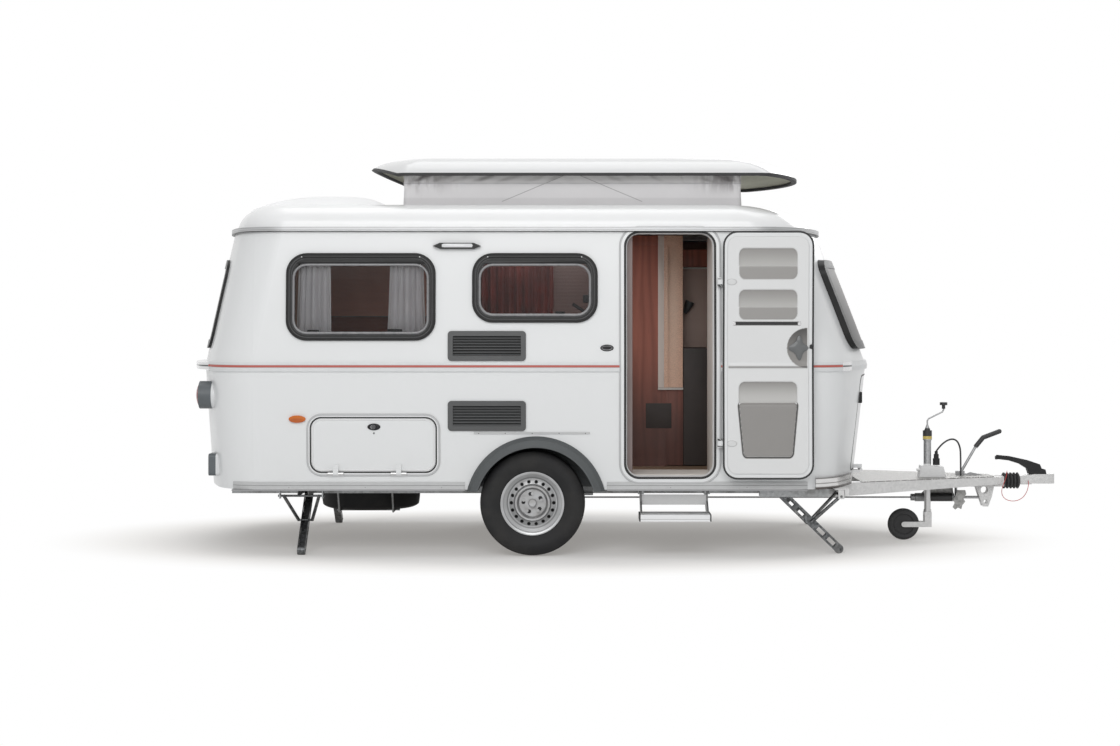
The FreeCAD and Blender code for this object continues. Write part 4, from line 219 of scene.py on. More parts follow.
def side_bead(window, radius, section, side=-1, out=0.0, face=side_out):
    """A bead swept round a rounded rectangle on the body's side, standing out from its face along Y."""
    u, v, rise = bead_points(window, radius, section)
    points = np.stack([u, side * (face(v) + out + rise), v], 2)
    return grid(points if side < 0 else points[::-1], wrap_rows=True, wrap_columns=True)


def side_plate(window, radius, edge, out, side=-1, face=side_out):
    """A plate with rounded corners that follows the side: edge holds draw-in and rise, from foot to top."""
    count = len(rounded_loop(*window, radius, spacing=0.015)[0])
    loops = []
    for draw, rise in edge:
        loop = rounded_loop(*inset(window, draw), max(radius - draw, 0.002), count=count)[0]
        loops.append(np.stack([loop[:, 0], side * (face(loop[:, 1]) + out + rise), loop[:, 1]], 1))
    points = np.array(loops)
    return grid(points if side < 0 else points[:, ::-1], wrap_columns=True, cap_rows=True)


def oval_plate(place, half_width, half_height, edge):
    """An oval plate on the near side: edge holds draw-in and rise, from foot to top."""
    angle = np.linspace(0, 2 * np.pi, 40, endpoint=False)
    loops = []
    for draw, rise in edge:
        u = place[0] + (half_width - draw) * np.cos(angle)
        v = place[1] + (half_height - draw) * np.sin(angle)
        loops.append(np.stack([u, -(side_out(v) + rise), v], 1))
    return grid(np.array(loops), wrap_columns=True, cap_rows=True)


def swept(path, section):
    """A section of pairs carried along an open path, turned square to it at each point."""
    path = np.array(path, float)
    ahead = np.gradient(path, axis=0)
    ahead /= np.linalg.norm(ahead, axis=1)[:, None]
    side = np.cross(ahead, up)
    side /= np.linalg.norm(side, axis=1)[:, None]
    top = np.cross(side, ahead)
    across, out = section[None, :, 0, None], section[None, :, 1, None]
    return grid(path[:, None] + side[:, None] * across + top[:, None] * out, wrap_columns=True, cap_rows=True)


def rounded_box(low, high, radius):
    """A box with rounded edges: a unit sphere's points pushed to the corners of the box that they face."""
    low, high = np.array(low, float), np.array(high, float)
    rows, columns = 16, 32
    v = (np.arange(rows) + 0.5) / rows * np.pi
    u = (np.arange(columns) + 0.5) / columns * 2 * np.pi
    v, u = np.meshgrid(v, u, indexing="ij")
    ball = np.stack([np.sin(v) * np.cos(u), np.sin(v) * np.sin(u), np.cos(v)], 2)
    middle, half = (low + high) / 2, (high - low) / 2 - radius
    return grid(middle + np.sign(ball) * half + radius * ball, wrap_columns=True, cap_rows=True)


def cut_plate(outline, y0, y1):
    """A flat plate between two depths, cut to an outline of places along and up."""
    x, z = np.array(outline, float).T
    loops = [np.stack([x, 0 * x + y, z], 1) for y in (y0, y1)]
    return grid(np.array(loops), wrap_columns=True, cap_rows=True)


# Materials

class Value:
    """A number worked out in a material; its operators add Math nodes."""

    def __init__(self, finish, socket):
        self.finish, self.socket = finish, socket

    def maths(self, operation, *values):
        """A Math node over values, numbers or both."""
        return self.finish.node("ShaderNodeMath", {"operation": operation}, dict(enumerate(values)))

    def __add__(self, other):
        return self.maths("ADD", self, other)

    def __radd__(self, other):
        return self.maths("ADD", other, self)

    def __sub__(self, other):
        return self.maths("SUBTRACT", self, other)

    def __rsub__(self, other):
        return self.maths("SUBTRACT", other, self)

    def __mul__(self, other):
        return self.maths("MULTIPLY", self, other)

    def __rmul__(self, other):
        return self.maths("MULTIPLY", other, self)

    def __pow__(self, other):
        return self.maths("POWER", self, other)

    def __abs__(self):
        return self.maths("ABSOLUTE", self)

    def sine(self):
        return self.maths("SINE", self)

    def fraction(self):
        return self.maths("FRACT", self)

    def whole(self):
        return self.maths("FLOOR", self)

    def most(self, other):
        return self.maths("MAXIMUM", self, other)

    def bearing(self, along):
        """The angle of a point that lies this far up and that far along."""
        return self.maths("ARCTAN2", self, along)

    def distance(self, other):
        """Distance of a point that lies this far one way and other far square to it."""
        return (self * self + other * other) ** 0.5

    def over(self, low, high):
        """0 below low, 1 above high and a smooth step between."""
        ends = {0: self, 1: low, 2: high}
        return self.finish.node("ShaderNodeMapRange", {"interpolation_type": "SMOOTHSTEP"}, ends)

    def under(self, low, high):
        """1 below low, 0 above high and a smooth step between."""
        return 1 - self.over(low, high)

    def past(self, edge, soft):
        """0 before an edge and 1 past it, eased by soft on both sides of it."""
        return self.over(edge - soft, edge + soft)

    def within(self, low, high, soft):
        """1 between two edges and 0 outside them."""
        return self.past(low, soft) * (1 - self.past(high, soft))


class Finish:
    """A material or the studio's world, and its nodes."""

    def __init__(self, name, kind=bpy.data.materials):
        self.made = kind.new(name)
        self.made.use_nodes = True
        self.tree = self.made.node_tree
        self.tree.nodes.clear()

    def node(self, kind, settings=None, sockets=None, output=0):
        """A node of one kind: its settings are set first, then the values or links of its sockets."""
        node = self.tree.nodes.new(kind)
        for key, setting in (settings or {}).items():
            setattr(node, key, setting)
        for key, value in (sockets or {}).items():
            if isinstance(value, Value):
                self.tree.links.new(value.socket, node.inputs[key])
            else:
                node.inputs[key].default_value = value
        return Value(self, node.outputs[output]) if len(node.outputs) else None

    def place(self, stretch=(1, 1, 1)):
        """The point on the piece, drawn together by stretch along each axis."""
        point = self.node("ShaderNodeTexCoord", output=3)
        if stretch == (1, 1, 1):
            return point
        return self.node("ShaderNodeMapping", None, {"Vector": point, "Scale": stretch})

    def split(self, vector, output):
        """One of a vector's three numbers."""
        return self.node("ShaderNodeSeparateXYZ", None, {0: vector}, output)

    def xyz(self):
        """The point on the piece, as three numbers."""
        point = self.place()
        return [self.split(point, k) for k in range(3)]

    def own(self):
        """The piece's own map, as its two numbers."""
        flat = self.node("ShaderNodeTexCoord", output=2)
        return self.split(flat, 0), self.split(flat, 1)

    def noise(self, scale, detail, stretch=(1, 1, 1)):
        sockets = {"Vector": self.place(stretch), "Scale": scale, "Detail": detail}
        return self.node("ShaderNodeTexNoise", None, sockets)

    def cells(self, scale, stretch=(1, 1, 1), output=0):
        """Distance from the middle of each cell, or with output 1 a colour of its own for each."""
        sockets = {"Vector": self.place(stretch), "Scale": scale}
        return self.node("ShaderNodeTexVoronoi", None, sockets, output)

    def prisms(self):
        """Rows of small prisms: two crossed sines, up and along."""
        x, y, z = self.xyz()
        return ((z * 900.0).sine() * 0.5 + 0.5) * (((x + y) * 900.0).sine() * 0.5 + 0.5)

    def mix(self, factor, first, second):
        """From the first colour to the second, by a factor."""
        sockets = {0: factor, 6: first, 7: second}
        for key in (6, 7):
            if isinstance(sockets[key], tuple):
                sockets[key] = (*sockets[key], 1)
        return self.node("ShaderNodeMix", {"data_type": "RGBA"}, sockets, 2)

    def bump(self, height, distance, strength):
        sockets = {"Height": height, "Distance": distance, "Strength": strength}
        return self.node("ShaderNodeBump", None, sockets)

    def vectors(self, operation, *values, output=0):
        return self.node("ShaderNodeVectorMath", {"operation": operation}, dict(enumerate(values)), output)

    def facing(self, centre):
        """Above 0 where the surface faces away from a centre, below 0 where it faces it."""
        away = self.vectors("NORMALIZE", self.vectors("SUBTRACT", self.place(), centre))
        normal = self.node("ShaderNodeTexCoord", output=1)
        return self.vectors("DOT_PRODUCT", away, normal, output=1)

    def direct(self):
        """1 where the camera, a mirror or glass sees it, and 0 for the light that it gives the object."""
        rays = [self.node("ShaderNodeLightPath", output=k) for k in (0, 3, 6)]
        return rays[0].most(rays[1]).most(rays[2])

    def surface(self, colour, roughness, **sockets):
        """The finished material. A socket's name is given with low lines for its blanks."""
        values = {"Base Color": colour, "Roughness": roughness}
        values.update({key.replace("_", " "): value for key, value in sockets.items()})
        if isinstance(colour, tuple):
            values["Base Color"] = (*colour, 1)
        shader = self.node("ShaderNodeBsdfPrincipled", None, values)
        self.node("ShaderNodeOutputMaterial", None, {0: shader})
        return self.made


def painted_panel(name="painted_panel", lined=1.0):
    """White stoved panel that greys in patches towards the sill, part road dust and part painted shade.
    Where lined is 1 its cabin side is beige wall board. A lid, where lined is 0, has the dark hole of the
    locker's lock."""
    f = Finish(name)
    x, _, z = f.xyz()
    cabin_middle, dust_and_shade_head, lock_radius = (-0.55, 0.0, 1.25), 0.95, 0.0150
    # Greyer in noisy patches towards the sill: part road dust, part painted shade
    dust = z.under(sill_z, dust_and_shade_head) * f.noise(3.0, 5).over(0.35, 0.8)
    outside = f.mix(dust * 0.10, (0.735, 0.745, 0.748), (0.60, 0.595, 0.57))
    grain = f.noise(220.0, 2, stretch=(1, 1, 4))
    inside = f.mix(grain * 0.5, (0.46, 0.33, 0.26), (0.54, 0.40, 0.32))
    cabin = lined * f.facing(cabin_middle).under(-0.15, 0.05)
    from_lock = (x - locker_lock[0]).distance(z - locker_lock[1])
    lock = (1 - lined) * from_lock.under(lock_radius, lock_radius + 0.0010)
    colour = f.mix(lock, f.mix(cabin, outside, inside), (0.06, 0.06, 0.062))
    height = f.noise(1.6, 2) * 0.6 + f.noise(260.0, 1) * 0.012
    return f.surface(colour, 0.30 + 0.25 * cabin + 0.06 * f.noise(5.0, 4), Coat_Weight=0.25,
                     Coat_Roughness=0.12, Normal=f.bump(height, 0.0015, 0.6))


def roof_skin():
    """Glossy moulded roof, with the slight waviness of a laminate."""
    f = Finish("roof_skin")
    colour = f.mix(f.noise(2.0, 4).over(0.4, 0.75) * 0.35, (0.80, 0.805, 0.81), (0.765, 0.765, 0.76))
    return f.surface(colour, 0.28 + 0.1 * f.noise(9.0, 3), Coat_Weight=0.4, Coat_Roughness=0.10,
                     Normal=f.bump(f.noise(2.2, 2), 0.004, 0.5))


def tray_skin():
    """The lifting roof: white outside, and lined with olive grey felt below."""
    f = Finish("tray_skin")
    white = f.mix(f.noise(2.0, 4).over(0.4, 0.75) * 0.35, (0.655, 0.66, 0.665), (0.63, 0.63, 0.625))
    felt = f.mix(f.noise(90.0, 5), (0.54, 0.54, 0.445), (0.68, 0.675, 0.57))
    tray_middle = (-0.2, 0.0, 2.28)
    below = f.facing(tray_middle).under(-0.1, 0.02)
    height = f.noise(2.2, 2) + 0.02 * below * f.noise(300, 2)
    return f.surface(f.mix(below, white, felt), 0.28 + 0.6 * below, Coat_Weight=0.4 - 0.4 * below,
                     Coat_Roughness=0.1, Normal=f.bump(height, 0.004, 0.5))


def gutter_moulding():
    """Pale rail on the eaves with two drawn grey lines and the dark joint under it."""
    f = Finish("gutter_moulding")
    z = f.xyz()[2]
    lower_line, upper_line, joint_head = (1.9475, 1.9500), (1.9590, 1.9610), 1.9405
    drawn = f.noise(60.0, 3, stretch=(0.4, 0.4, 14))
    lines = z.within(*lower_line, 0.0006).most(z.within(*upper_line, 0.0006))
    joint = z.under(joint_head, joint_head + 0.0020)
    colour = f.mix(drawn, (0.40, 0.405, 0.41), (0.50, 0.505, 0.51))
    colour = f.mix(joint, f.mix(lines * 0.7, colour, (0.13, 0.13, 0.13)), (0.025, 0.025, 0.025))
    return f.surface(colour, 0.35, Metallic=0.6 - 0.6 * joint, Normal=f.bump(lines + joint, 0.0006, 0.5))


def belt_moulding():
    """White belt moulding with a soft red insert between grey edges, and metal ends with a dark middle."""
    f = Finish("belt_moulding")
    x, _, z = f.xyz()
    rear_cap, insert_end, front_cap = -2.565, 1.262, 1.330
    insert_z, insert_half = belt_z + 0.004, 0.0075
    rear_of_end = x.under(insert_end, insert_end + 0.002)
    ends = x.under(rear_cap, rear_cap + 0.003).most(x.within(insert_end, front_cap, 0.001))
    off_insert = abs(z - insert_z)
    red = off_insert.under(insert_half - 0.0020, insert_half) * rear_of_end * (1 - ends)
    edge = rear_of_end * abs(off_insert - insert_half).under(0.001, 0.0022)
    white = f.mix(f.noise(30.0, 3), (0.62, 0.63, 0.635), (0.70, 0.71, 0.715))
    colour = f.mix(edge * 0.5 * (1 - ends), f.mix(red, white, (0.45, 0.095, 0.075)), (0.22, 0.20, 0.20))
    metal = f.mix(abs(z - (belt_z + 0.002)).over(0.002, 0.007), (0.10, 0.10, 0.10), (0.66, 0.66, 0.665))
    height = red * 0.5 + f.noise(240.0, 2) * 0.05
    return f.surface(f.mix(ends, colour, metal), 0.35 + 0.15 * red - 0.15 * ends, Metallic=ends * 0.95,
                     Normal=f.bump(height, 0.0015, 0.8))


def moulded(name, dark, light, rough=0.5, grain=420.0, depth=0.0004, coat=0.0, shine=0.5):
    """Moulded plastic or rubber: fine leather-like grain with slight colour drift."""
    f = Finish(name)
    return f.surface(f.mix(f.noise(6.0, 4), dark, light), rough + 0.12 * f.noise(22.0, 3), Coat_Weight=coat,
                     Specular_IOR_Level=shine, Normal=f.bump(f.cells(grain), depth, 0.5))


def lamp_pod():
    """Grey lamp housing on a foot in the colour of the body, where it reaches round the corner."""
    f = Finish("lamp_grey")
    x, _, z = f.xyz()
    edge_x, step_z, step_forward = -2.5425, (0.65, 0.70), 0.0275
    foot = (x - (edge_x + z.under(*step_z) * step_forward)).past(0.0, 0.001)
    grey = f.mix(f.noise(6.0, 4), (0.075, 0.086, 0.094), (0.110, 0.122, 0.130))
    return f.surface(f.mix(foot, grey, (0.66, 0.67, 0.675)), 0.40, Normal=f.bump(f.cells(420.0), 0.0004, 0.5))


def hinged_frame():
    """White door surround, with the dark slanting joints of its two hinges."""
    f = Finish("door_surround")
    x, _, z = f.xyz()
    upper, lower, hinge_rear = (1.608, 1.656), (0.658, 0.706), 0.4955
    joint = z.within(*upper, 0.001).most(z.within(*lower, 0.001)) * x.past(hinge_rear, 0.0005)
    slant = abs((z * 48.0 + x * 40.0).fraction() - 0.5).over(0.10, 0.16)
    plate = f.mix(f.noise(6.0, 4), (0.68, 0.685, 0.685), (0.73, 0.735, 0.735))
    return f.surface(f.mix(joint * slant, plate, (0.05, 0.05, 0.05)), 0.40,
                     Normal=f.bump(f.cells(420.0), 0.0004, 0.5))


def step_finish():
    """Aluminium step: a bright tread with a lip and black end caps, and dull arms."""
    f = Finish("step_finish")
    x, _, z = f.xyz()
    tread_span, arm_span = (0.0455, 0.4560), (0.058, 0.444)
    tread_head, lip_line = 0.262, (0.2325, 0.2345)
    scuff = f.noise(130.0, 5, stretch=(1, 1, 6))
    tread = z.under(tread_head, tread_head + 0.004)
    caps = tread * (1 - x.within(*tread_span, 0.0008))
    lip = z.within(*lip_line, 0.0006) * tread
    arms = (1 - tread) * (1 - x.within(*arm_span, 0.001))
    colour = f.mix(tread, f.mix(scuff, (0.42, 0.42, 0.42), (0.56, 0.56, 0.56)), (0.72, 0.725, 0.73))
    colour = f.mix(arms, f.mix(lip, colour, (0.20, 0.20, 0.20)), (0.16, 0.16, 0.16))
    colour = f.mix(caps, colour, (0.016, 0.016, 0.017))
    return f.surface(colour, 0.34 + 0.1 * scuff, Metallic=0.5 - 0.5 * caps,
                     Normal=f.bump(scuff, 0.0003, 0.35))


def damper_finish():
    """Overrun gear: black damper between a plated nose and a plated rod."""
    f = Finish("damper_finish")
    damper_span = (1.905, 2.088)
    scuff = f.noise(60.0, 4, stretch=(3, 1, 1))
    dark = f.xyz()[0].within(*damper_span, 0.001)
    colour = f.mix(dark, f.mix(scuff, (0.20, 0.205, 0.21), (0.46, 0.46, 0.465)), (0.018, 0.018, 0.019))
    return f.surface(colour, 0.42 + 0.15 * scuff, Metallic=0.75 * (1 - dark),
                     Normal=f.bump(scuff, 0.0003, 0.4))


def window_acrylic():
    """Tinted double glazing, blown a little wavy: see-through at the sides, nearly closed at the ends."""
    f = Finish("window_acrylic")
    _, y, z = f.xyz()
    end_half, tint_foot, tint_head = 0.90, 1.25, 1.75
    smear = f.noise(5.0, 4)
    ends = abs(y).under(end_half, end_half + 0.05)
    end_tint = f.mix(z.over(tint_foot, tint_head), (0.060, 0.057, 0.055), (0.125, 0.120, 0.115))
    colour = f.mix(ends, f.mix(smear, (0.014, 0.012, 0.011), (0.024, 0.021, 0.020)), end_tint)
    return f.surface(colour, 0.08 + 0.05 * smear + 0.26 * ends, Specular_IOR_Level=0.3,
                     Alpha=0.22 + 0.72 * ends, Coat_Weight=0.25 - 0.25 * ends, Coat_Roughness=0.03,
                     Normal=f.bump(f.noise(3.0, 2), 0.002, 0.4))


def clear_prisms():
    """Clear moulded lens: rows of small prisms behind a smooth face."""
    f = Finish("clear_lens")
    prisms = f.prisms()
    return f.surface(f.mix(prisms, (0.62, 0.63, 0.64), (0.84, 0.85, 0.86)), 0.12, Coat_Weight=0.8,
                     Coat_Roughness=0.05, Normal=f.bump(prisms, 0.0012, 0.7))


def marker_lens():
    """Side markers in amber with a darker middle, and rear lenses in red."""
    f = Finish("marker_lens")
    x, y, z = f.xyz()
    side_y, side_rear, lamp_x, lamp_z = 0.940, -2.10, -2.0, 0.803
    prisms = f.prisms()
    side = abs(y).over(side_y, side_y + 0.015) * x.over(side_rear, side_rear + 0.02)
    middle = (((x - lamp_x) * 14.0) ** 2 + ((z - lamp_z) * 34.0) ** 2).under(0.2, 1.0)
    amber = f.mix(prisms * 0.6 + 0.4 * middle, (0.62, 0.155, 0.012), (0.30, 0.045, 0.006))
    red = f.mix(prisms, (0.20, 0.012, 0.010), (0.50, 0.045, 0.030))
    return f.surface(f.mix(side, red, amber), 0.25, Coat_Weight=0.25, Coat_Roughness=0.05,
                     Specular_IOR_Level=0.3, Normal=f.bump(prisms, 0.0012, 0.7))


def spangled_zinc(name, dark, light, metallic, front=0.0):
    """Hot-dip zinc: crystals of slightly different grey, and dust; front lightens the drawbar's zinc."""
    f = Finish(name)
    drawbar_rear = 1.15
    crystal = f.node("ShaderNodeRGBToBW", None, {0: f.cells(70.0, output=1)})
    dust = f.noise(9.0, 5).over(0.45, 0.8)
    fresh = front * f.xyz()[0].over(drawbar_rear, drawbar_rear + 0.10)
    dull = f.mix(dust * 0.4, f.mix(crystal, dark, light), (0.26, 0.245, 0.22))
    bright = f.mix(crystal, (0.56, 0.56, 0.555), (0.66, 0.655, 0.65))
    sheen = metallic * (1 - 0.4 * dust) * (1 - 0.6 * fresh)
    return f.surface(f.mix(fresh, dull, bright), 0.38 + 0.25 * dust, Metallic=sheen,
                     Normal=f.bump(crystal, 0.0003, 0.5))


def steel(name, tone, rough, metallic=0.95):
    """Plated or rolled steel with fine scuffs."""
    f = Finish(name)
    scuff = f.noise(130.0, 5, stretch=(1, 1, 6))
    worn = f.noise(12.0, 4).over(0.45, 0.8)
    return f.surface(f.mix(scuff, (tone * 0.85,) * 3, (tone,) * 3), rough + 0.2 * worn, Metallic=metallic,
                     Normal=f.bump(scuff, 0.0003, 0.35))


def banded(name, lowest, *bands):
    """One piece in several finishes by height. A finish is two tones and how metallic it is, and each one
    above the lowest comes with the height where it starts."""
    f = Finish(name)
    z = f.xyz()[2]
    scuff = f.noise(60.0, 4, stretch=(1, 1, 3))
    tones, metallic = lowest
    colour = f.mix(scuff, *tones)
    for height, (tones, metal) in bands:
        above = z.past(height, 0.0008)
        colour = f.mix(above, colour, f.mix(scuff, *tones))
        metallic = metallic + above * (metal - metallic)
    return f.surface(colour, 0.4 + 0.2 * scuff, Metallic=metallic, Normal=f.bump(scuff, 0.0003, 0.4))


def polished_corner():
    """Bright corner bracket: its rounded face holds a dark band low down and another at its head."""
    f = Finish("polished_corner")
    z = f.xyz()[2]
    low_band, middle_band, head_band = (0.410, 0.418), (0.432, 0.438), (0.458, 0.466)
    low = z.under(*low_band).most(z.within(*middle_band, 0.003) * 0.7)
    head = z.over(*head_band)
    smear = f.noise(18.0, 4, stretch=(1, 1, 3))
    colour = f.mix((low * 0.9 + 0.25 * smear).most(head), (0.72, 0.715, 0.71), (0.10, 0.09, 0.085))
    return f.surface(colour, 0.22, Metallic=0.9, Normal=f.bump(smear, 0.0010, 0.5))


def skirt_moulding():
    """White rail along the sill: a dark line near its head, a bright lip at its foot and small screws."""
    f = Finish("skirt_moulding")
    x, _, z = f.xyz()
    dark_line, lip_head, screws_per_metre, screw_z = (0.4235, 0.4262), 0.4015, 2.2, 0.4130
    line = z.within(*dark_line, 0.0006)
    lip = z.under(lip_head, lip_head + 0.0015)
    beside = abs((x * screws_per_metre).fraction() - 0.5) * (1 / screws_per_metre)
    screw = beside.distance(z - screw_z).under(0.0024, 0.0034)
    white = f.mix(f.noise(20.0, 3), (0.47, 0.475, 0.475), (0.54, 0.545, 0.545))
    colour = f.mix(line * 0.8, white, (0.10, 0.10, 0.10))
    colour = f.mix(lip, f.mix(screw, colour, (0.30, 0.30, 0.30)), (0.30, 0.30, 0.305))
    return f.surface(colour, 0.36, Metallic=0.4 * lip, Normal=f.bump(line + screw, 0.0008, 0.6))


def wheel_lacquer():
    """Silver lacquer on pressed steel: brake dust round the middle, and painted shade in its pressed grooves
    and vent holes.
    """
    f = Finish("wheel_lacquer")
    x, y, z = f.xyz()
    vents, vent_circle, vent_radius, disc_y = 18, 0.127, 0.0100, 0.85
    grooves = ((0.1105, 0.1130, 0.0008), (0.1480, 0.1560, 0.0030), (0.1735, 0.1760, 0.0006))
    along, above = x - wheel_centre[0], z - wheel_centre[1]
    reach = along.distance(above)
    dust = reach.under(0.07, 0.19) * f.noise(24.0, 5).over(0.3, 0.75)
    flake = f.noise(700.0, 1)
    sector = above.bearing(along) * (vents / (2 * math.pi)) + (vents + 0.5)
    beside = (sector.fraction() - 0.5) * (2 * math.pi / vents * vent_circle)
    # Painted shade in the vent holes
    hole = beside.distance(reach - vent_circle).under(vent_radius, vent_radius + 0.0020)
    front = abs(y).over(disc_y, disc_y + 0.01)
    # Painted shade in the pressed grooves
    groove = reach.within(0.0845, 0.0880, 0.0008)
    for inner, outer, soft in grooves:
        groove = groove.most(reach.within(inner, outer, soft))
    groove = groove * 0.55
    colour = f.mix(flake, (0.40, 0.405, 0.41), (0.48, 0.485, 0.49))
    colour = f.mix(f.noise(9.0, 4, stretch=(1, 0.2, 1)).over(0.35, 0.7) * 0.35, colour, (0.24, 0.24, 0.245))
    colour = f.mix(groove * front, f.mix(dust * 0.5, colour, (0.25, 0.235, 0.22)), (0.10, 0.10, 0.10))
    colour = f.mix(hole * front, colour, (0.012, 0.012, 0.012))
    return f.surface(colour, 0.36 + 0.3 * dust, Metallic=0.55 - 0.5 * hole, Coat_Weight=0.3,
                     Normal=f.bump(flake + groove * 8, 0.0002, 0.4))


def tyre_rubber():
    """Black rubber with a grey bloom and dust on the tread."""
    f = Finish("tyre_rubber")
    bloom = f.noise(7.0, 5).over(0.35, 0.8)
    return f.surface(f.mix(bloom, (0.016, 0.016, 0.017), (0.036, 0.035, 0.034)), 0.62 + 0.2 * bloom,
                     Specular_IOR_Level=0.25, Normal=f.bump(f.noise(400.0, 3), 0.0004, 0.5))


def furniture():
    """Reddish board with upright grain, darker towards the floor with painted shade; by place, the pale post
    and the woven screen with a painted glow behind it.
    """
    f = Finish("cherry_board")
    x, y, z = f.xyz()
    warp = f.noise(1.6, 3, stretch=(3, 3, 0.3))
    rings = ((x * 1.3 + y + warp * 0.35) * 85.0).sine() * 0.5 + 0.5
    pores = f.noise(260.0, 3, stretch=(2, 2, 0.05))
    streak = f.noise(22.0, 4, stretch=(2, 2, 0.06))
    board = f.mix(rings * 0.5 + streak * 0.5, (0.26, 0.078, 0.050), (0.46, 0.150, 0.098))
    board = f.mix(pores.over(0.5, 0.8) * 0.4, board, (0.14, 0.045, 0.03))
    # Painted shade: the board darkens towards the floor
    board = f.mix(z.under(0.60, 1.30) * 0.78, board, (0.050, 0.030, 0.027))
    screen_y, screen_front, glow_front, glow_z = (0.275, 0.3185), 0.40, 0.335, (1.25, 1.80)
    fitting = y.within(*screen_y, 0.001) * z.past(screen_foot, 0.001)
    post = fitting * x.within(*post_span, 0.001)
    screen = fitting * x.within(post_span[1], screen_front, 0.001)
    weave = f.cells(150.0, stretch=(1, 1, 1.6)).over(0.1, 0.6)
    # Painted glow of light behind the screen
    glow = x.within(post_span[1] + 0.012, glow_front, 0.030) * (0.35 + 0.65 * z.within(*glow_z, 0.30))
    woven = f.mix(weave * 0.7 + 0.3 * f.noise(26.0, 3), (0.50, 0.29, 0.20), (0.92, 0.60, 0.44))
    woven = f.mix(glow * 0.55, woven, (1.0, 0.78, 0.62))
    colour = f.mix(post, f.mix(screen, board, woven), (0.80, 0.72, 0.66))
    return f.surface(colour, 0.50 + 0.1 * pores, Coat_Weight=0.08,
                     Normal=f.bump(pores + screen * weave, 0.0005, 0.4))


def floor_covering():
    """Sheet floor in narrow wood planks, dark below."""
    f = Finish("floor_covering")
    _, y, z = f.xyz()
    planks_per_metre, underside = 11.0, 0.402
    plank = abs((y * planks_per_metre).fraction() - 0.5).under(0.47, 0.49)
    grain = f.noise(30.0, 4, stretch=(0.4, 9, 1))
    colour = f.mix(grain, (0.20, 0.13, 0.085), (0.31, 0.21, 0.14))
    below = z.under(underside, underside + 0.002)
    colour = f.mix(below, f.mix(1 - plank, colour, (0.08, 0.05, 0.04)), (0.10, 0.085, 0.07))
    return f.surface(colour, 0.5, Normal=f.bump(plank, 0.001, 0.5))


def tread_plate_aluminium():
    """Bright tread plate: short raised bars that lie one way and the other by turns, dulled between them."""
    f = Finish("tread_plate_aluminium")
    x, y, _ = f.xyz()
    bars_per_metre = 33.0
    u, v = (x + y) * bars_per_metre, (x - y) * bars_per_metre
    cell = abs(u.whole() + v.whole())
    turn = (cell * 0.5).fraction().over(0.2, 0.3)
    off_u, off_v = abs(u.fraction() - 0.5), abs(v.fraction() - 0.5)
    across = off_u * (1 - turn) + off_v * turn
    along = off_v * (1 - turn) + off_u * turn
    bar = across.under(0.10, 0.20) * along.under(0.36, 0.46)
    worn = f.noise(16.0, 5)
    flat = f.mix(worn, (0.115, 0.112, 0.108), (0.20, 0.195, 0.188))
    return f.surface(f.mix(bar, flat, (0.60, 0.595, 0.58)), 0.34 + 0.2 * worn, Metallic=0.55,
                     Normal=f.bump(bar, 0.002, 0.8))


def liner_plastic():
    """White vacuum-formed sheet, whose map holds a tone towards beige and a shade from dark to light."""
    f = Finish("liner_plastic")
    tone, shade = f.own()
    mid_beige = (0.235, 0.225, 0.215)
    white = f.mix(shade, (0.36, 0.36, 0.355), (0.69, 0.695, 0.695))
    warm = f.mix(shade.over(0.0, 1.0), mid_beige, (0.50, 0.495, 0.48))
    deep = f.mix(shade.over(-0.9, 0.0), (0.02, 0.02, 0.02), mid_beige)
    beige = f.mix(shade.over(-0.02, 0.02), deep, warm)
    colour = f.mix(f.noise(6.0, 4) * 0.06, f.mix(tone, white, beige), (0.5, 0.5, 0.49))
    return f.surface(colour, 0.42, Normal=f.bump(f.cells(600.0), 0.0002, 0.4))


def cloth(name, dark, light, pitch=0.003, rough=0.85, sheen=0.2, **more):
    """Woven cloth: two crossed sines along the piece's own map, with soft shade drift."""
    f = Finish(name)
    u, v = f.own()
    weave = (u * (2 * math.pi / pitch)).sine() * (v * (2 * math.pi / pitch)).sine()
    colour = f.mix((f.noise(5.0, 4) * 0.8 + weave * 0.1).over(0.1, 0.9), dark, light)
    return f.surface(colour, rough, Sheen_Weight=sheen, Normal=f.bump(weave, 0.0004, 0.6), **more)


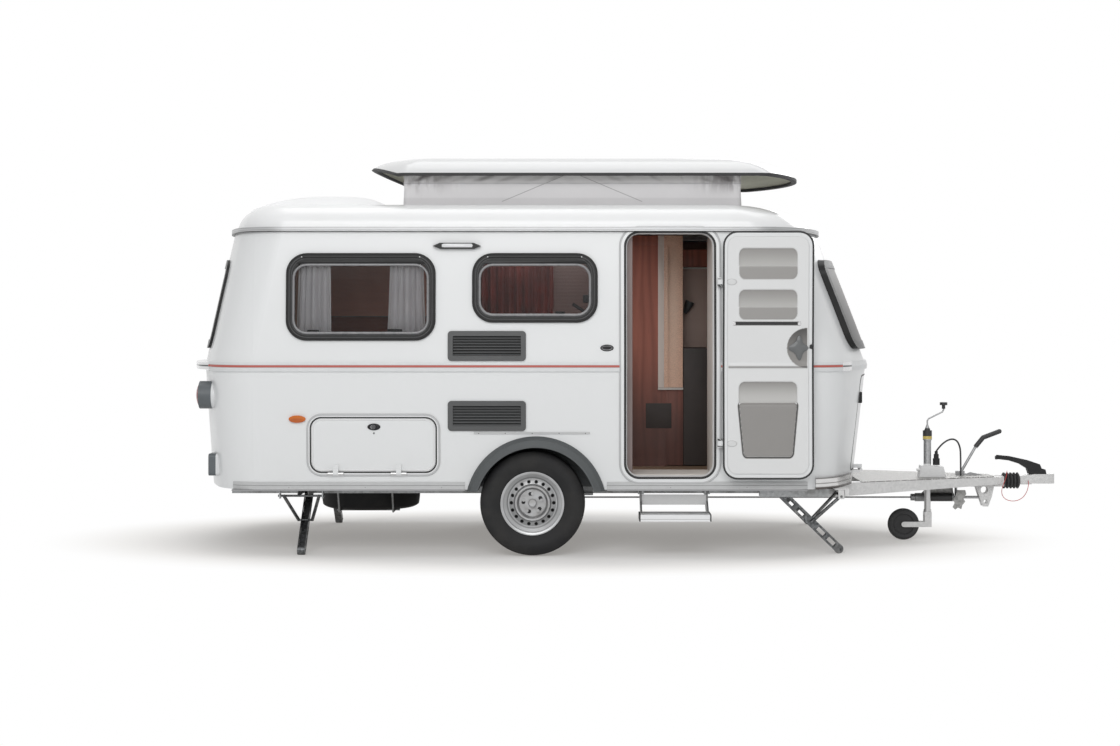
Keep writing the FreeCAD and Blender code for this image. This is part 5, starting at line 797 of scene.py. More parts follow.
def tent_canvas():
    """Light grey coated canvas: its weave, a pressed fold line and the stitched V of both long sides. Above
    the fold, painted shade lies in creases that slant away from the V and in upright creases near the
    corners;
    painted shade also lines the fold, and a darker band runs along the foot."""
    f = Finish("tent_canvas")
    u, v = f.own()
    threads, stitches = 1571.0, 1300.0
    v_height, v_slope, v_half = 0.205, 0.42, 0.425
    away = abs(u - tent_peak_x)
    off_fold = abs(v - tent_fold)
    weave = (u * threads).sine() * (v * threads).sine()
    peak = v_height - away * v_slope
    chevron = abs(v - peak).under(0.0012, 0.0028) * away.under(v_half, v_half + 0.005)
    fold = off_fold.under(0.0015, 0.003)
    stitch = (u * stitches).sine().over(-0.2, 0.3)
    above = v.over(tent_fold + 0.001, tent_fold + 0.02) * (1 - 0.5 * (peak - v).past(0.0, 0.004))
    # Painted shade of slanting creases above the fold, in patches, stronger towards the corners
    slant = ((away * 46.0 + v * 105.0 + f.noise(5.0, 3) * 8.0).sine() * 0.5 + 0.5) ** 1.6
    patches = f.noise(4.5, 2, stretch=(1, 1, 0.4)).over(0.40, 0.56)
    crease = slant * patches * (0.30 + 0.70 * away.over(0.25, 0.75))
    # Painted shade of upright creases near the corners
    upright = f.noise(15.0, 3, stretch=(1, 1, 0.10)).over(0.44, 0.56) * away.over(0.66, 0.96)
    colour = f.mix(f.noise(4.0, 5), (0.655, 0.645, 0.655), (0.745, 0.735, 0.745))
    # Painted shade above the fold, deepest in the creases
    shade = above * (0.14 + 0.95 * crease) * v.over(tent_fold - 0.05, 0.19)
    colour = f.mix(shade, colour, (0.170, 0.158, 0.162))
    colour = f.mix(upright * 0.80 * v.over(0.05, 0.17), colour, (0.24, 0.225, 0.23))
    # A darker band along the foot
    colour = f.mix(v.under(0.04, 0.055) * 0.25, colour, (0.40, 0.39, 0.40))
    # Painted shade along the pressed fold line; the stitched V is drawn darker as stitching
    pressed = off_fold.under(0.0030, 0.0055) * (0.35 + 0.5 * f.noise(18.0, 3, stretch=(1, 1, 0.3)))
    colour = f.mix((chevron * (0.55 + 0.4 * stitch)).most(pressed * 0.60), colour, (0.24, 0.23, 0.25))
    seams = weave * 0.05 + chevron * 0.8 + fold * 0.8
    height = seams + crease * above * 0.8 + upright * 0.5 + f.noise(34.0, 3) * 0.25
    return f.surface(colour, 0.8, Sheen_Weight=0.15, Normal=f.bump(height, 0.002, 0.7))


def cord_sheath(name, colour, darker):
    """Scuffed sheath of a cord."""
    f = Finish(name)
    scuff = f.noise(60.0, 4)
    return f.surface(f.mix(scuff, darker, colour), 0.45 + 0.2 * scuff,
                     Normal=f.bump(f.noise(500.0, 2), 0.0002, 0.5))


# Finishes of this caravan

panel = painted_panel()
lid_panel = painted_panel("lid_panel", 0.0)
acrylic = window_acrylic()
silver = wheel_lacquer()
tyre_black = tyre_rubber()
cherry = furniture()
liner = liner_plastic()
canvas = tent_canvas()
clear_lens = clear_prisms()

charcoal = moulded("charcoal_frame", (0.010, 0.010, 0.010), (0.016, 0.016, 0.016), 0.28, shine=0.24)
mid_grey = moulded("grey_moulding", (0.058, 0.064, 0.066), (0.080, 0.087, 0.090), 0.48)
vent_grey = moulded("vent_grey", (0.058, 0.060, 0.061), (0.082, 0.084, 0.085), 0.45)
rubber = moulded("black_rubber", (0.016, 0.016, 0.017), (0.030, 0.030, 0.031), 0.62, 520.0, 0.0005)
seal_grey = moulded("seal_grey", (0.030, 0.031, 0.032), (0.048, 0.049, 0.050), 0.6)
black = moulded("black_plastic", (0.014, 0.014, 0.015), (0.024, 0.024, 0.025), 0.50, 480.0, shine=0.25)
white_trim = moulded("white_trim", (0.68, 0.685, 0.685), (0.73, 0.735, 0.735), 0.40)
ring_grey = moulded("ring_grey", (0.44, 0.445, 0.45), (0.50, 0.505, 0.51), 0.40)
bead_grey = moulded("bead_grey", (0.15, 0.15, 0.155), (0.21, 0.21, 0.215), 0.22, coat=0.5)
# Lighter grey of the windows' moulded step lines: a painted highlight
frame_highlight_line = moulded("frame_highlight_line", (0.045, 0.045, 0.046), (0.07, 0.07, 0.071), 0.30, shine=0.4)
lever_grey = moulded("lever_grey", (0.085, 0.090, 0.092), (0.13, 0.135, 0.137), 0.40, coat=0.3)
cream_board = moulded("cream_board", (0.62, 0.585, 0.545), (0.70, 0.665, 0.625), 0.5, 200.0, 0.0003)
# Grey-brown board for the jamb: painted shade on the cupboard's edge
shaded_jamb_board = moulded("shaded_jamb_board", (0.20, 0.155, 0.148), (0.27, 0.215, 0.205), 0.5, 200.0, 0.0003)
# Pale pinkish board: painted light on the cabin wall
wall_board = moulded("wall_board", (0.50, 0.375, 0.325), (0.60, 0.455, 0.40), 0.6, 200.0, 0.0003)
dark_board = moulded("dark_board", (0.030, 0.024, 0.022), (0.050, 0.038, 0.034), 0.5, 200.0, 0.0003)

zinc = spangled_zinc("spangled_zinc", (0.30, 0.31, 0.315), (0.44, 0.45, 0.455), 0.7, front=1.0)
lever_zinc = spangled_zinc("lever_zinc", (0.22, 0.22, 0.215), (0.40, 0.395, 0.385), 0.5)
old_zinc = spangled_zinc("weathered_zinc", (0.045, 0.048, 0.050), (0.20, 0.205, 0.21), 0.85)
bare_steel = steel("bare_steel", 0.55, 0.30)
chrome = steel("chrome", 0.72, 0.12, 1.0)
brushed_aluminium = steel("brushed_aluminium", 0.62, 0.30, 0.8)

plated = (((0.20, 0.205, 0.21), (0.52, 0.52, 0.525)), 0.8)
bright_clamp = (((0.62, 0.62, 0.62), (0.80, 0.80, 0.80)), 0.1)
yellow_cap = (((0.52, 0.40, 0.10), (0.66, 0.52, 0.16)), 0.0)
black_grip = (((0.014, 0.014, 0.015), (0.026, 0.026, 0.027)), 0.0)
post_bands = banded("jockey_post_bands", plated, (0.402, bright_clamp), (0.486, plated), (0.645, yellow_cap),
                    (0.664, black_grip), (0.715, plated), (0.838, black_grip))
lever_bands = banded("handbrake_bands", plated, (0.585, black_grip))

sheer = cloth("sheer_curtain", (0.76, 0.76, 0.79), (0.95, 0.95, 0.97), 0.0016, 0.9, 0.1, Alpha=0.78)
brown_cloth = cloth("brown_blind", (0.44, 0.235, 0.185), (0.62, 0.345, 0.275))
dark_cloth = cloth("lower_blind", (0.17, 0.062, 0.044), (0.23, 0.085, 0.062))
taupe_cloth = cloth("mid_blind", (0.15, 0.105, 0.098), (0.21, 0.150, 0.140))
wine_cloth = cloth("wine_curtain", (0.055, 0.008, 0.006), (0.26, 0.030, 0.020))
seat_cloth = cloth("seat_cloth", (0.30, 0.22, 0.18), (0.40, 0.30, 0.24), 0.005)
black_sheath = cord_sheath("black_sheath", (0.030, 0.030, 0.031), (0.014, 0.014, 0.015))
red_sheath = cord_sheath("red_sheath", (0.55, 0.035, 0.03), (0.36, 0.02, 0.02))

# The finish of each piece of the frame; tyres, wheels and steadies are told by their names
finish_of = {
    "side_wall_right": panel, "side_wall_left": panel, "rear_wall": panel, "front_wall": panel,
    "floor": floor_covering(), "roof_shell": roof_skin(), "roof_tray": tray_skin(), "roof_seal": rubber,
    "gutter_rail": gutter_moulding(), "belt_rail": belt_moulding(), "skirt_rails": skirt_moulding(),
    "wheel_arches": mid_grey, "grab_handles": polished_corner(), "window_frames": charcoal,
    "window_panes": acrylic, "fridge_vents": vent_grey, "awning_light": charcoal, "tail_lamps": lamp_pod(),
    "lamp_lenses": marker_lens(), "door_frame": hinged_frame(), "door_leaf": lid_panel, "door_liner": liner,
    "locker_hinges": brushed_aluminium, "locker_lid": lid_panel, "gas_lid": lid_panel, "tent": canvas,
    "chassis": zinc, "drawbar_cover": tread_plate_aluminium(), "axle": zinc, "coupling_head": zinc,
    "coupling_handle": black, "bellows": rubber, "handbrake": lever_bands, "brake_gear": damper_finish(),
    "jockey_post": post_bands, "jockey_stem": bare_steel, "jockey_fork": zinc, "jockey_wheel": rubber,
    "spare_wheel": tyre_black, "step": step_finish(), "plug": black, "lead": black_sheath,
    "breakaway_cable": red_sheath, "cabinets": cherry, "bench_seats": seat_cloth,
}
for name, node in nodes.items():
    if name.startswith("tyre"):
        finish = tyre_black
    elif name.startswith("wheel_") and name != "wheel_arches":
        finish = silver
    elif name.startswith("steady"):
        finish = old_zinc
    else:
        finish = finish_of[name]
    node.data.materials.clear()
    node.data.materials.append(finish)


# Camera, lights and stage

camera = placed("camera", bpy.data.cameras.new("camera"))
camera.location = (-0.289, -12.38, 1.446)
camera.rotation_euler = (math.radians(90), 0, 0)
camera.data.lens = 61.55
camera.data.sensor_width = 36
camera.data.shift_x, camera.data.shift_y = -0.0214, -0.0527
bpy.context.scene.camera = camera
bpy.context.scene.view_settings.view_transform = "Standard"


def soft_box(name, place, aim, width, height, power):
    """A rectangular lamp at a place, turned towards its aim."""
    light = bpy.data.lights.new(name, "AREA")
    light.shape, light.size, light.size_y, light.energy = "RECTANGLE", width, height, power
    lamp = placed(name, light)
    lamp.location = place
    away = np.array(place, float) - np.array(aim, float)
    away /= np.linalg.norm(away)
    lamp.rotation_euler = (math.acos(away[2]), 0, math.atan2(away[1], away[0]) + math.pi / 2)
    return lamp


# Name, place, aim, width, height and power
soft_box("key_box", (-1.2, -10.0, 5.2), (0, -1, 1.2), 7, 5, 430)
soft_box("top_box", (0.0, 0.5, 8.5), (0, 0, 1), 8, 5, 230)
cabin_lamp = soft_box("cabin_box", (-0.55, 0.05, 1.935), (-0.55, 0.05, 0), 1.7, 0.9, 9)
cabin_lamp.visible_camera = False
soft_box("far_box", (4.0, 9.0, 5.0), (0, 0, 1.2), 6, 4, 170)

sky = Finish("studio", bpy.data.worlds)
sky_light = 0.48
strength = sky.direct() * (1 - sky_light) + sky_light
around = sky.node("ShaderNodeBackground", None, {0: (1, 1, 1, 1), 1: strength})
sky.node("ShaderNodeOutputWorld", None, {0: around})
bpy.context.scene.world = sky.made

# The floor looks plain white. In an oval round the object it keeps the object's shadow, lifted and
# warmed by a painted glow
ground = Finish("studio_floor")
along, across, _ = ground.xyz()
near = ((along + 0.5) * 0.36).distance(across * 0.62).under(0.75, 1.20)
lit = ground.node("ShaderNodeBsdfDiffuse", None, {0: (0.84, 0.845, 0.85, 1)})
# Painted glow, warm near the object, lifts the shadow there
plain = ground.node("ShaderNodeEmission", None, {0: ground.mix(near, (1, 1, 1), (1, 0.965, 0.92)), 1: 1.0})
both = ground.node("ShaderNodeMixShader", None, {0: ground.direct() * (1 - 0.73 * near), 1: lit, 2: plain})
ground.node("ShaderNodeOutputMaterial", None, {0: both})
floor_half = 40
floor_mesh = bpy.data.meshes.new("studio_floor")
floor_corners = [(floor_half * x, floor_half * y, 0) for x, y in ((-1, -1), (1, -1), (1, 1), (-1, 1))]
floor_mesh.from_pydata(floor_corners, [], [(0, 1, 2, 3)])
floor_mesh.materials.append(ground.made)
studio_floor = placed("studio_floor", floor_mesh)


# Cords

def cord_line(name, route, radius, finish):
    """A smooth line through a route of control points, as round as the cord."""
    curve = bpy.data.curves.new(name, "CURVE")
    curve.dimensions = "3D"
    curve.bevel_depth, curve.bevel_resolution, curve.resolution_u = radius, 5, 12
    curve.use_fill_caps = True
    line = curve.splines.new("NURBS")
    line.points.add(len(route) - 1)
    for point, place in zip(line.points, route):
        point.co = (*place, 1)
    line.order_u = 3
    line.use_endpoint_u = True
    curve.materials.append(finish)
    return placed(name, curve)


lead_route = [
    (2.140, -0.034, 0.4043), (2.140, -0.034, 0.5443), (2.134, -0.038, 0.5903), (2.116, -0.046, 0.6283),
    (2.082, -0.060, 0.6443), (2.036, -0.076, 0.6303), (1.994, -0.090, 0.5963), (1.970, -0.100, 0.5663),
]
cable_route = [
    (2.433, -0.058, 0.436), (2.425, -0.084, 0.404), (2.403, -0.097, 0.358), (2.387, -0.097, 0.306),
    (2.403, -0.092, 0.264), (2.447, -0.085, 0.244), (2.497, -0.077, 0.246), (2.539, -0.069, 0.270),
    (2.565, -0.060, 0.312), (2.575, -0.049, 0.352), (2.576, -0.0314, 0.372),
]

lead = cord_line("power_lead", lead_route, 0.0055, black_sheath)
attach(lead, "caravan")
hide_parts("lead")
cable = cord_line("breakaway_line", cable_route, 0.002, red_sheath)
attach(cable, "caravan")
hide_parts("breakaway_cable")


# Tent of the lifting roof

def ridge(line, breadth, along, reach):
    """A crease's height: a bell across its line, and another along it."""
    return np.exp(-(line / breadth) ** 2) * np.exp(-(along / reach) ** 2)


def tent_cloth():
    """Canvas round the roof opening. A point round the loop and at height v stands off the loop by a small
    ridge at the fold line, less a hollow between foot and head. Slanting folds fade away from the corners of
    the long sides, with short dents beside the fold line, and a few folds cross the ends."""
    corner_radius, spacing, rows = 0.03, 0.005, 44
    loop, normal = rounded_loop(*tent_x, -tent_half, tent_half, corner_radius, spacing)
    height = tent_z[1] - tent_z[0]
    v = np.linspace(0, 1, rows)[None, :]
    x, y = loop[:, :1], loop[:, 1:]
    long_side = (np.abs(normal[:, 1:]) > 0.7).astype(float)
    fold = tent_fold / height
    fold_out, hollow, slants, dents, end_folds = 0.004, 0.005, 26, 30, 8
    out = fold_out * ridge(v - fold, 0.05, 0 * x, 1.0) - hollow * np.sin(np.pi * v)
    random = np.random.default_rng(11)
    rear, front = tent_x
    for k in range(slants):
        near_rear = k % 2 == 0
        gap = 0.03 + 0.42 * random.random() ** 1.4
        middle = rear + gap if near_rear else front - gap
        lean = random.uniform(-0.5, 0.5) + (0.35 if near_rear else -0.35)
        breadth = random.uniform(0.008, 0.020)
        centre, reach = random.uniform(0.55, 0.9), random.uniform(0.12, 0.26)
        depth = random.uniform(0.005, 0.011) * (1 - gap / 0.6)
        crease = ridge(x - middle - lean * (v - centre) * height, breadth, v - centre, reach)
        out = out + depth * crease * long_side * (1 if random.random() < 0.6 else -1)
    for k in range(dents):
        gap = 0.015 + 0.30 * random.random() ** 1.3
        middle = rear + gap if k % 2 == 0 else front - gap
        breadth = random.uniform(0.005, 0.011)
        centre = fold + random.choice((-0.11, 0.10)) + random.uniform(-0.05, 0.05)
        line = x - middle - random.uniform(-0.18, 0.18) * (v - centre) * height
        crease = ridge(line, breadth, v - centre, random.uniform(0.07, 0.14))
        out = out - random.uniform(0.004, 0.008) * (1 - gap / 0.5) * crease * long_side
    for _ in range(end_folds):
        middle = random.uniform(-0.6, 0.6)
        line = y - middle - random.uniform(-0.4, 0.4) * (v - 0.6) * height
        out = out + 0.004 * ridge(line, 0.03, v - 0.6, 0.3) * (1 - long_side)
    out = out * np.sin(np.pi * v) ** 0.35
    up_cloth = v * height + 0 * out
    points = np.stack([x + normal[:, :1] * out, y + normal[:, 1:] * out, tent_z[0] + up_cloth], 2)
    flat = np.stack([np.where(long_side > 0, x, y + 5.0) + 0 * out, up_cloth], 2)
    points, faces = grid(points, wrap_rows=True)
    return (points, [face[::-1] for face in faces]), flat


tent_part, tent_map = tent_cloth()
tent = piece("tent_cloth", [tent_part], canvas, "caravan", uv=tent_map, sharp=None)
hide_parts("tent")
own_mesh(tent)


# Window trim

frame_stand = 0.016
lip_draw, lip_out, lip_section = 0.001, 0.0110, oval(0.0060, 0.0075)
step_lines = ((0.0155, oval(0.0030, 0.0030)), (0.029, oval(0.0022, 0.0020)))
bead_draw, head_drop, bead_section = 0.041, 0.024, oval(0.0080, 0.0080, 14)


def window_trim(side):
    """Rubber lip, head band and rain strip of both side windows, their pale beads, and their moulded steps in
    a lighter grey as a painted highlight.
    """
    dark, pale, lines = [], [], []
    for window in (rear_window, mid_window):
        rear, front, _, head = window
        band = (rear + 0.052, front - 0.052, head - 0.060, head - 0.040)
        strip = (rear + 0.083, front - 0.085, head - 0.026, head - 0.010)
        inner = inset(window, bead_draw, head_drop)
        dark.append(side_bead(inset(window, lip_draw), window_radius - lip_draw, lip_section, side, lip_out))
        dark.append(side_plate(band, 0.004, ((0, 0), (0, 0.003), (0.002, 0.004)), frame_stand - 0.003, side))
        dark.append(side_plate(strip, 0.006, ((0, 0), (0, 0.004), (0.004, 0.006)), frame_stand - 0.001, side))
        pale.append(side_bead(inner, window_radius - bead_draw, bead_section, side, frame_stand - 0.002))
        for draw, section in step_lines:
            lines.append(side_bead(inset(window, draw), window_radius - draw, section, side, frame_stand))
    return dark, pale, lines


def strip_screws(side):
    """The screws at both ends of each rain strip."""
    places = []
    for rear, front, _, head in (rear_window, mid_window):
        z = head - 0.019
        for x in (rear + 0.089, front - 0.091):
            places.append((x, side * (float(side_out(z)) + frame_stand + 0.004), z))
    return domes(places, (0, side, 0), 0.0045, 0.003)


# Catches of the rear and the middle window: rear edge, front edge, foot, head; and the middle window's stay
catches = (
    (-1.937, -1.865, 1.334, 1.352), (-1.459, -1.370, 1.334, 1.356),
    (-0.460, -0.402, 1.447, 1.462), (-0.296, -0.260, 1.512, 1.560),
)
catch_y, stay_y = (-0.990, -0.974), -0.975
stay_ends = ((-0.357, 1.506), (-0.283, 1.458))


def window_catches():
    """Black catches on the panes' inner faces, and the stay of the middle window."""
    parts = [rounded_box((x0, catch_y[0], z0), (x1, catch_y[1], z1), 0.005) for x0, x1, z0, z1 in catches]
    (x0, z0), (x1, z1) = stay_ends
    path = [(x0, stay_y, z0), ((x0 + x1) / 2, stay_y, (z0 + z1) / 2), (x1, stay_y, z1)]
    return parts + [swept(path, oval(0.004, 0.010, 8))]


for side, name in ((-1, "near"), (1, "far")):
    dark, pale, lines = window_trim(side)
    piece("window_trim_" + name, dark, charcoal, "caravan")
    piece("window_lines_" + name, lines, frame_highlight_line, "caravan")
    piece("window_beads_" + name, pale, bead_grey, "caravan")
    piece("strip_screws_" + name, strip_screws(side), bare_steel, "caravan")
piece("window_catches", window_catches(), black, "caravan")


# Seals, piping and locks of the side and the front

gas_lid = (-0.5225, 0.5225, 0.4775, 1.0645)
lid_section = oval(0.0065, 0.0030, 12)
ring_section = oval(0.0060, 0.0030, 12)


def gas_seal():
    """Rubber round the gas locker's lid, on the bowed front."""
    y, z, rise = bead_points(gas_lid, 0.0475, oval(0.0045, 0.0032, 8), 0.015)
    return grid(np.stack([front_out(y, z) + 0.0005 + rise, y, z], 2), wrap_rows=True, wrap_columns=True)


piece("side_seals", [
    side_bead(inset(doorway, -0.001), door_radius, oval(0.0075, 0.005), out=0.001),
    side_bead(inset(locker, -0.0035), 0.0655, oval(0.0052, 0.004), out=0.001),
    gas_seal(),
], rubber, "caravan")
piece("side_piping", [
    side_bead(inset(locker, -0.020), 0.082, ring_section, out=0.0045),
    side_bead(inset(doorway, -0.030), 0.115, ring_section, out=0.0045),
], ring_grey, "caravan")
piece("locker_piping", [side_bead(inset(locker, 0.010), 0.052, lid_section)], white_trim, "side_locker")

plate_edge = ((0, 0), (0.0005, 0.004), (0.004, 0.0065), (0.012, 0.0075))
rim_edge = ((0, 0.006), (0.001, 0.0085), (0.003, 0.0085), (0.005, 0.007))
key_profile = ((0.0075, 0.006), (0.0075, 0.0095), (0.006, 0.0110), (0.002, 0.0110))
door_plate = (-0.152, 1.244)
lock_face = (locker_lock[0], -float(side_out(locker_lock[1])), locker_lock[1])
piece("wall_plate", [oval_plate(door_plate, 0.040, 0.020, plate_edge)], black, "caravan")
piece("wall_plate_rim", [oval_plate(door_plate, 0.034, 0.0145, rim_edge)], bead_grey, "caravan")
piece("locker_lock", [oval_plate(locker_lock, 0.039, 0.0205, plate_edge)], black, "side_locker")
piece("locker_key", [turned(key_profile, lock_face, (0, -1, 0), 20)], bead_grey, "side_locker")

awning_lens = (-1.134, -0.950, 1.842, 1.864)
lens_edge = ((0, 0), (0, 0.003), (0.003, 0.005))
piece("awning_lens", [side_plate(awning_lens, 0.004, lens_edge, 0.033)], clear_lens, "caravan")

lock_y, lock_z, lock_half, lock_depth = 0.480, (0.893, 0.963), 0.020, 0.012


def gas_locks():
    """Two black grips on the gas lid, near its sides."""
    face = float(front_out(lock_y, 0.97))
    locks = []
    for side in (-1, 1):
        low = (face - lock_depth, side * lock_y - lock_half, lock_z[0])
        high = (face + lock_depth, side * lock_y + lock_half, lock_z[1])
        locks.append(rounded_box(low, high, 0.007))
    return locks


piece("gas_locks", gas_locks(), black, "gas_locker")

strip_y = -float(side_out(strip_z))
strip_screw_x = (-0.915, -0.757, -0.597, -0.437, -0.280)
strip_places = [(x, strip_y - 0.0055, strip_z) for x in strip_screw_x]
piece("arch_strip_screws", domes(strip_places, (0, -1, 0), 0.0045, 0.002), seal_grey, "caravan")
piece("locker_pin", domes([(locker_lock[0], strip_y - 0.0006, strip_z)], (0, -1, 0), 0.006, 0.003), bead_grey,
      "side_locker")


# Road wheels and brake levers

wheel_face, shade_ring_face = 0.9083, 0.878
bolt_circle, first_bolt = 0.055, 104.0
bolt_profile = ((0.0125, 0.0), (0.0125, 0.004), (0.0100, 0.0100), (0.002, 0.0105))
shade_ring_profile = ((0.1190, 0.0), (0.1500, 0.0), (0.1500, 0.002), (0.1190, 0.002))


def wheel_bolts(side):
    """Five black bolt heads on the disc of a road wheel, black as painted shade of the recesses round
    the bolts.
    """
    bolts = []
    for k in range(5):
        angle = math.radians(first_bolt + 72 * k)
        x = wheel_centre[0] + bolt_circle * math.cos(angle)
        z = wheel_centre[1] + bolt_circle * math.sin(angle)
        bolts.append(turned(bolt_profile, (x, side * wheel_face, z), (0, side, 0), 6))
    return bolts


# Behind each wheel a black ring: painted shade seen through the vent holes
for side, name in ((-1, "right"), (1, "left")):
    hub = (wheel_centre[0], side * shade_ring_face, wheel_centre[1])
    shade_ring = turned(shade_ring_profile, hub, (0, side, 0), 48, closed=True)
    piece("wheel_bolts_" + name, wheel_bolts(side), black, "road_wheel_" + name)
    piece("wheel_shade_ring_" + name, [shade_ring], black, "road_wheel_" + name)

# Outlines of the ratchet lever and the arm behind the handbrake: places along and up
lever_outline = (
    (2.1159, 0.3112), (2.1675, 0.3112), (2.1739, 0.2855), (2.1546, 0.2597), (2.1675, 0.2371),
    (2.1481, 0.2145), (2.1417, 0.1887), (2.1191, 0.1984), (2.1030, 0.1855), (2.0869, 0.2016),
    (2.0998, 0.2274), (2.0901, 0.2532), (2.1062, 0.2790),
)
arm_outline = (
    (1.9418, 0.3241), (2.1030, 0.3241), (2.1095, 0.2790), (2.0708, 0.2597), (1.9805, 0.2597),
    (1.8902, 0.2726),
)
piece("brake_levers", [cut_plate(lever_outline, -0.045, -0.037), cut_plate(arm_outline, 0.046, 0.054)],
      lever_zinc, "caravan")


# Open door: moulded lining with two pockets, a blind slot, a lock dish and a waste bin

lining = (0.556, 1.040, 0.500, 1.905)
lining_radius, lining_lift = 0.061, 0.0103
pockets = ((0.627, 0.969, 1.651, 1.834), (0.627, 0.969, 1.413, 1.589))
pocket_radius, pocket_sink, pocket_edge, lip_share, lip_lift = 0.036, 0.0088, 0.010, 0.42, 0.0045
bin_recess, bin_foot, bin_top = (0.627, 0.969, 0.880, 1.045), 0.604, 0.920
bin_half, bin_taper, bin_lift = 0.170, 0.028, 0.0045
dish_place, dish_radius, dish_edge, dish_sink = (1.028, 1.245), 0.118, 1.030, 0.0085
slot_box, slot_sink = (0.591, 0.993, 1.376, 1.403), 0.0075
fold_z, fold_height, fold_lift = 1.139, 0.012, 0.0050
hinge_covers, cover_half, cover_lift = ((0.582, 1.635), (0.583, 0.681)), (0.027, 0.016), 0.004


def ease(distance, soft):
    """1 inside an outline and 0 outside it, easing over a band as wide as soft."""
    share = np.clip(0.5 - distance / soft, 0, 1)
    return share * share * (3 - 2 * share)


def bell(distance, breadth, power=2):
    """1 at a line, falling off as a bell on both sides of it; a higher power makes its top flatter."""
    return np.exp(-(distance / breadth) ** power)


def box_distance(x, z, window, radius):
    """Distance outside a rectangle with rounded corners, negative inside it."""
    over_x = np.abs(x - (window[0] + window[1]) / 2) - (window[1] - window[0]) / 2 + radius
    over_z = np.abs(z - (window[2] + window[3]) / 2) - (window[3] - window[2]) / 2 + radius
    corner = np.hypot(np.maximum(over_x, 0), np.maximum(over_z, 0))
    return corner + np.minimum(np.maximum(over_x, over_z), 0) - radius


class Relief:
    """The lining's face as arrays: place, lift off the leaf, tone towards beige, shade from dark to light."""

    def __init__(self):
        """Rows from foot to head; each row runs as wide as the rounded corners leave it."""
        rear, front, foot, head = lining
        t = np.linspace(0, 1, 420)[:, None]
        s = np.linspace(-1, 1, 150)[None, :]
        self.z = foot + (head - foot) * t + 0 * s
        end = np.minimum(self.z - foot, head - self.z)
        cut = np.clip(lining_radius - end, 0, lining_radius)
        half = (front - rear) / 2 - (lining_radius - np.sqrt(lining_radius ** 2 - cut ** 2))
        self.x = (rear + front) / 2 + half * s
        self.lift = np.full_like(self.x, lining_lift)
        self.tone, self.shade = np.zeros_like(self.x), np.ones_like(self.x)

    def beige(self, mask):
        self.tone = np.maximum(self.tone, mask)

    def shaded(self, mask, shade):
        self.shade = np.where(mask > 0.5, shade, self.shade)

    def sunk(self, window):
        """A beige mouth pressed into the face. Its mask is returned."""
        mouth = ease(box_distance(self.x, self.z, window, pocket_radius), pocket_edge)
        self.lift = self.lift - mouth * pocket_sink
        self.beige(mouth)
        return mouth


def pocket(face, window):
    """A mouth painted with shade that darkens upwards, behind a raised lip over its lower part; the lip's
    rolled edge carries a painted highlight.
    """
    mouth = face.sunk(window)
    tall = window[3] - window[2]
    above_lip = (face.z - window[2]) / tall - lip_share
    lip = mouth * ease(above_lip * tall, 0.005)
    edge = bell(above_lip * tall, 0.003) * mouth
    # Painted shade in the mouth, darkest at the top
    depth = 0.80 - 0.62 * np.clip(above_lip / (1 - lip_share), 0, 1) ** 0.8
    face.lift = face.lift + lip * (pocket_sink + lip_lift) + 0.0015 * edge
    face.shaded(mouth, np.where(lip > 0.5, 0.30, depth))
    # Painted highlight along the lip's rolled edge
    face.shade = face.shade + 0.5 * edge


def waste_bin(face):
    """A tapering bin below its mouth, which has painted shade that darkens upwards: a raised front, grooved
    under its rim, and a gap all round painted dark as shade.
    """
    x, z = face.x, face.z
    mouth = face.sunk(bin_recess)
    rise = np.clip((z - bin_top) / (bin_recess[3] - bin_top), 0, 1)
    # Painted shade in the mouth, darkening upwards
    face.shaded(mouth, 0.95 - 0.80 * rise ** 1.3)
    middle = (bin_recess[0] + bin_recess[1]) / 2
    narrow = bin_half - bin_taper * (1 - np.clip((z - bin_foot) / (bin_top - bin_foot), 0, 1))
    wide = middle + (x - middle) * bin_half / narrow
    distance = box_distance(wide, z, (middle - bin_half, middle + bin_half, bin_foot, bin_top), 0.020)
    front = ease(distance, 0.005)
    gap = bell(distance - 0.0060, 0.0048, 4) * ease(z - bin_top - 0.001, 0.004)
    face.lift = face.lift * (1 - front) + front * (lining_lift + bin_lift) - gap * 0.007
    face.lift = face.lift - 0.0022 * bell(z - bin_top + 0.012, 0.0022) * front
    face.beige(np.maximum(front, gap))
    face.shaded(front, 0.12)
    # Painted shade in the gap round the front
    face.shade = face.shade * (1 - gap) - 0.95 * gap


def lock_dish(face):
    """A round dish, cut off at the leaf's edge: deepest in its middle, with painted light low down and
    painted shade above.
    """
    x, z = face.x - dish_place[0], face.z - dish_place[1]
    reach = np.hypot(x, z)
    dish = ease(np.maximum(reach - dish_radius, face.x - dish_edge), 0.006)
    face.lift = face.lift - dish * dish_sink * np.clip(1.15 - (reach / dish_radius) ** 4, 0, 1)
    face.beige(dish)
    # Painted light low in the dish, painted shade above
    face.shaded(dish, -0.22 + 0.50 * (reach / dish_radius) * np.clip(-np.sin(np.arctan2(z, x)), -0.9, 1))


def cross_fold(face):
    """The rounded rib across the middle of the lining, with painted shade along a groove below it."""
    rear, front = lining[:2]
    from_end = np.abs(face.x - (rear + front) / 2) - (front - rear) / 2 + 0.012
    fold = bell(face.z - fold_z, fold_height) * ease(from_end, 0.01)
    # Painted shade in the groove below the rib
    groove = bell(face.z - fold_z + 0.007, 0.006) * (fold > 0.02)
    face.lift = face.lift + fold_lift * fold
    face.beige(0.75 * groove)
    face.shade = face.shade - 1.1 * groove


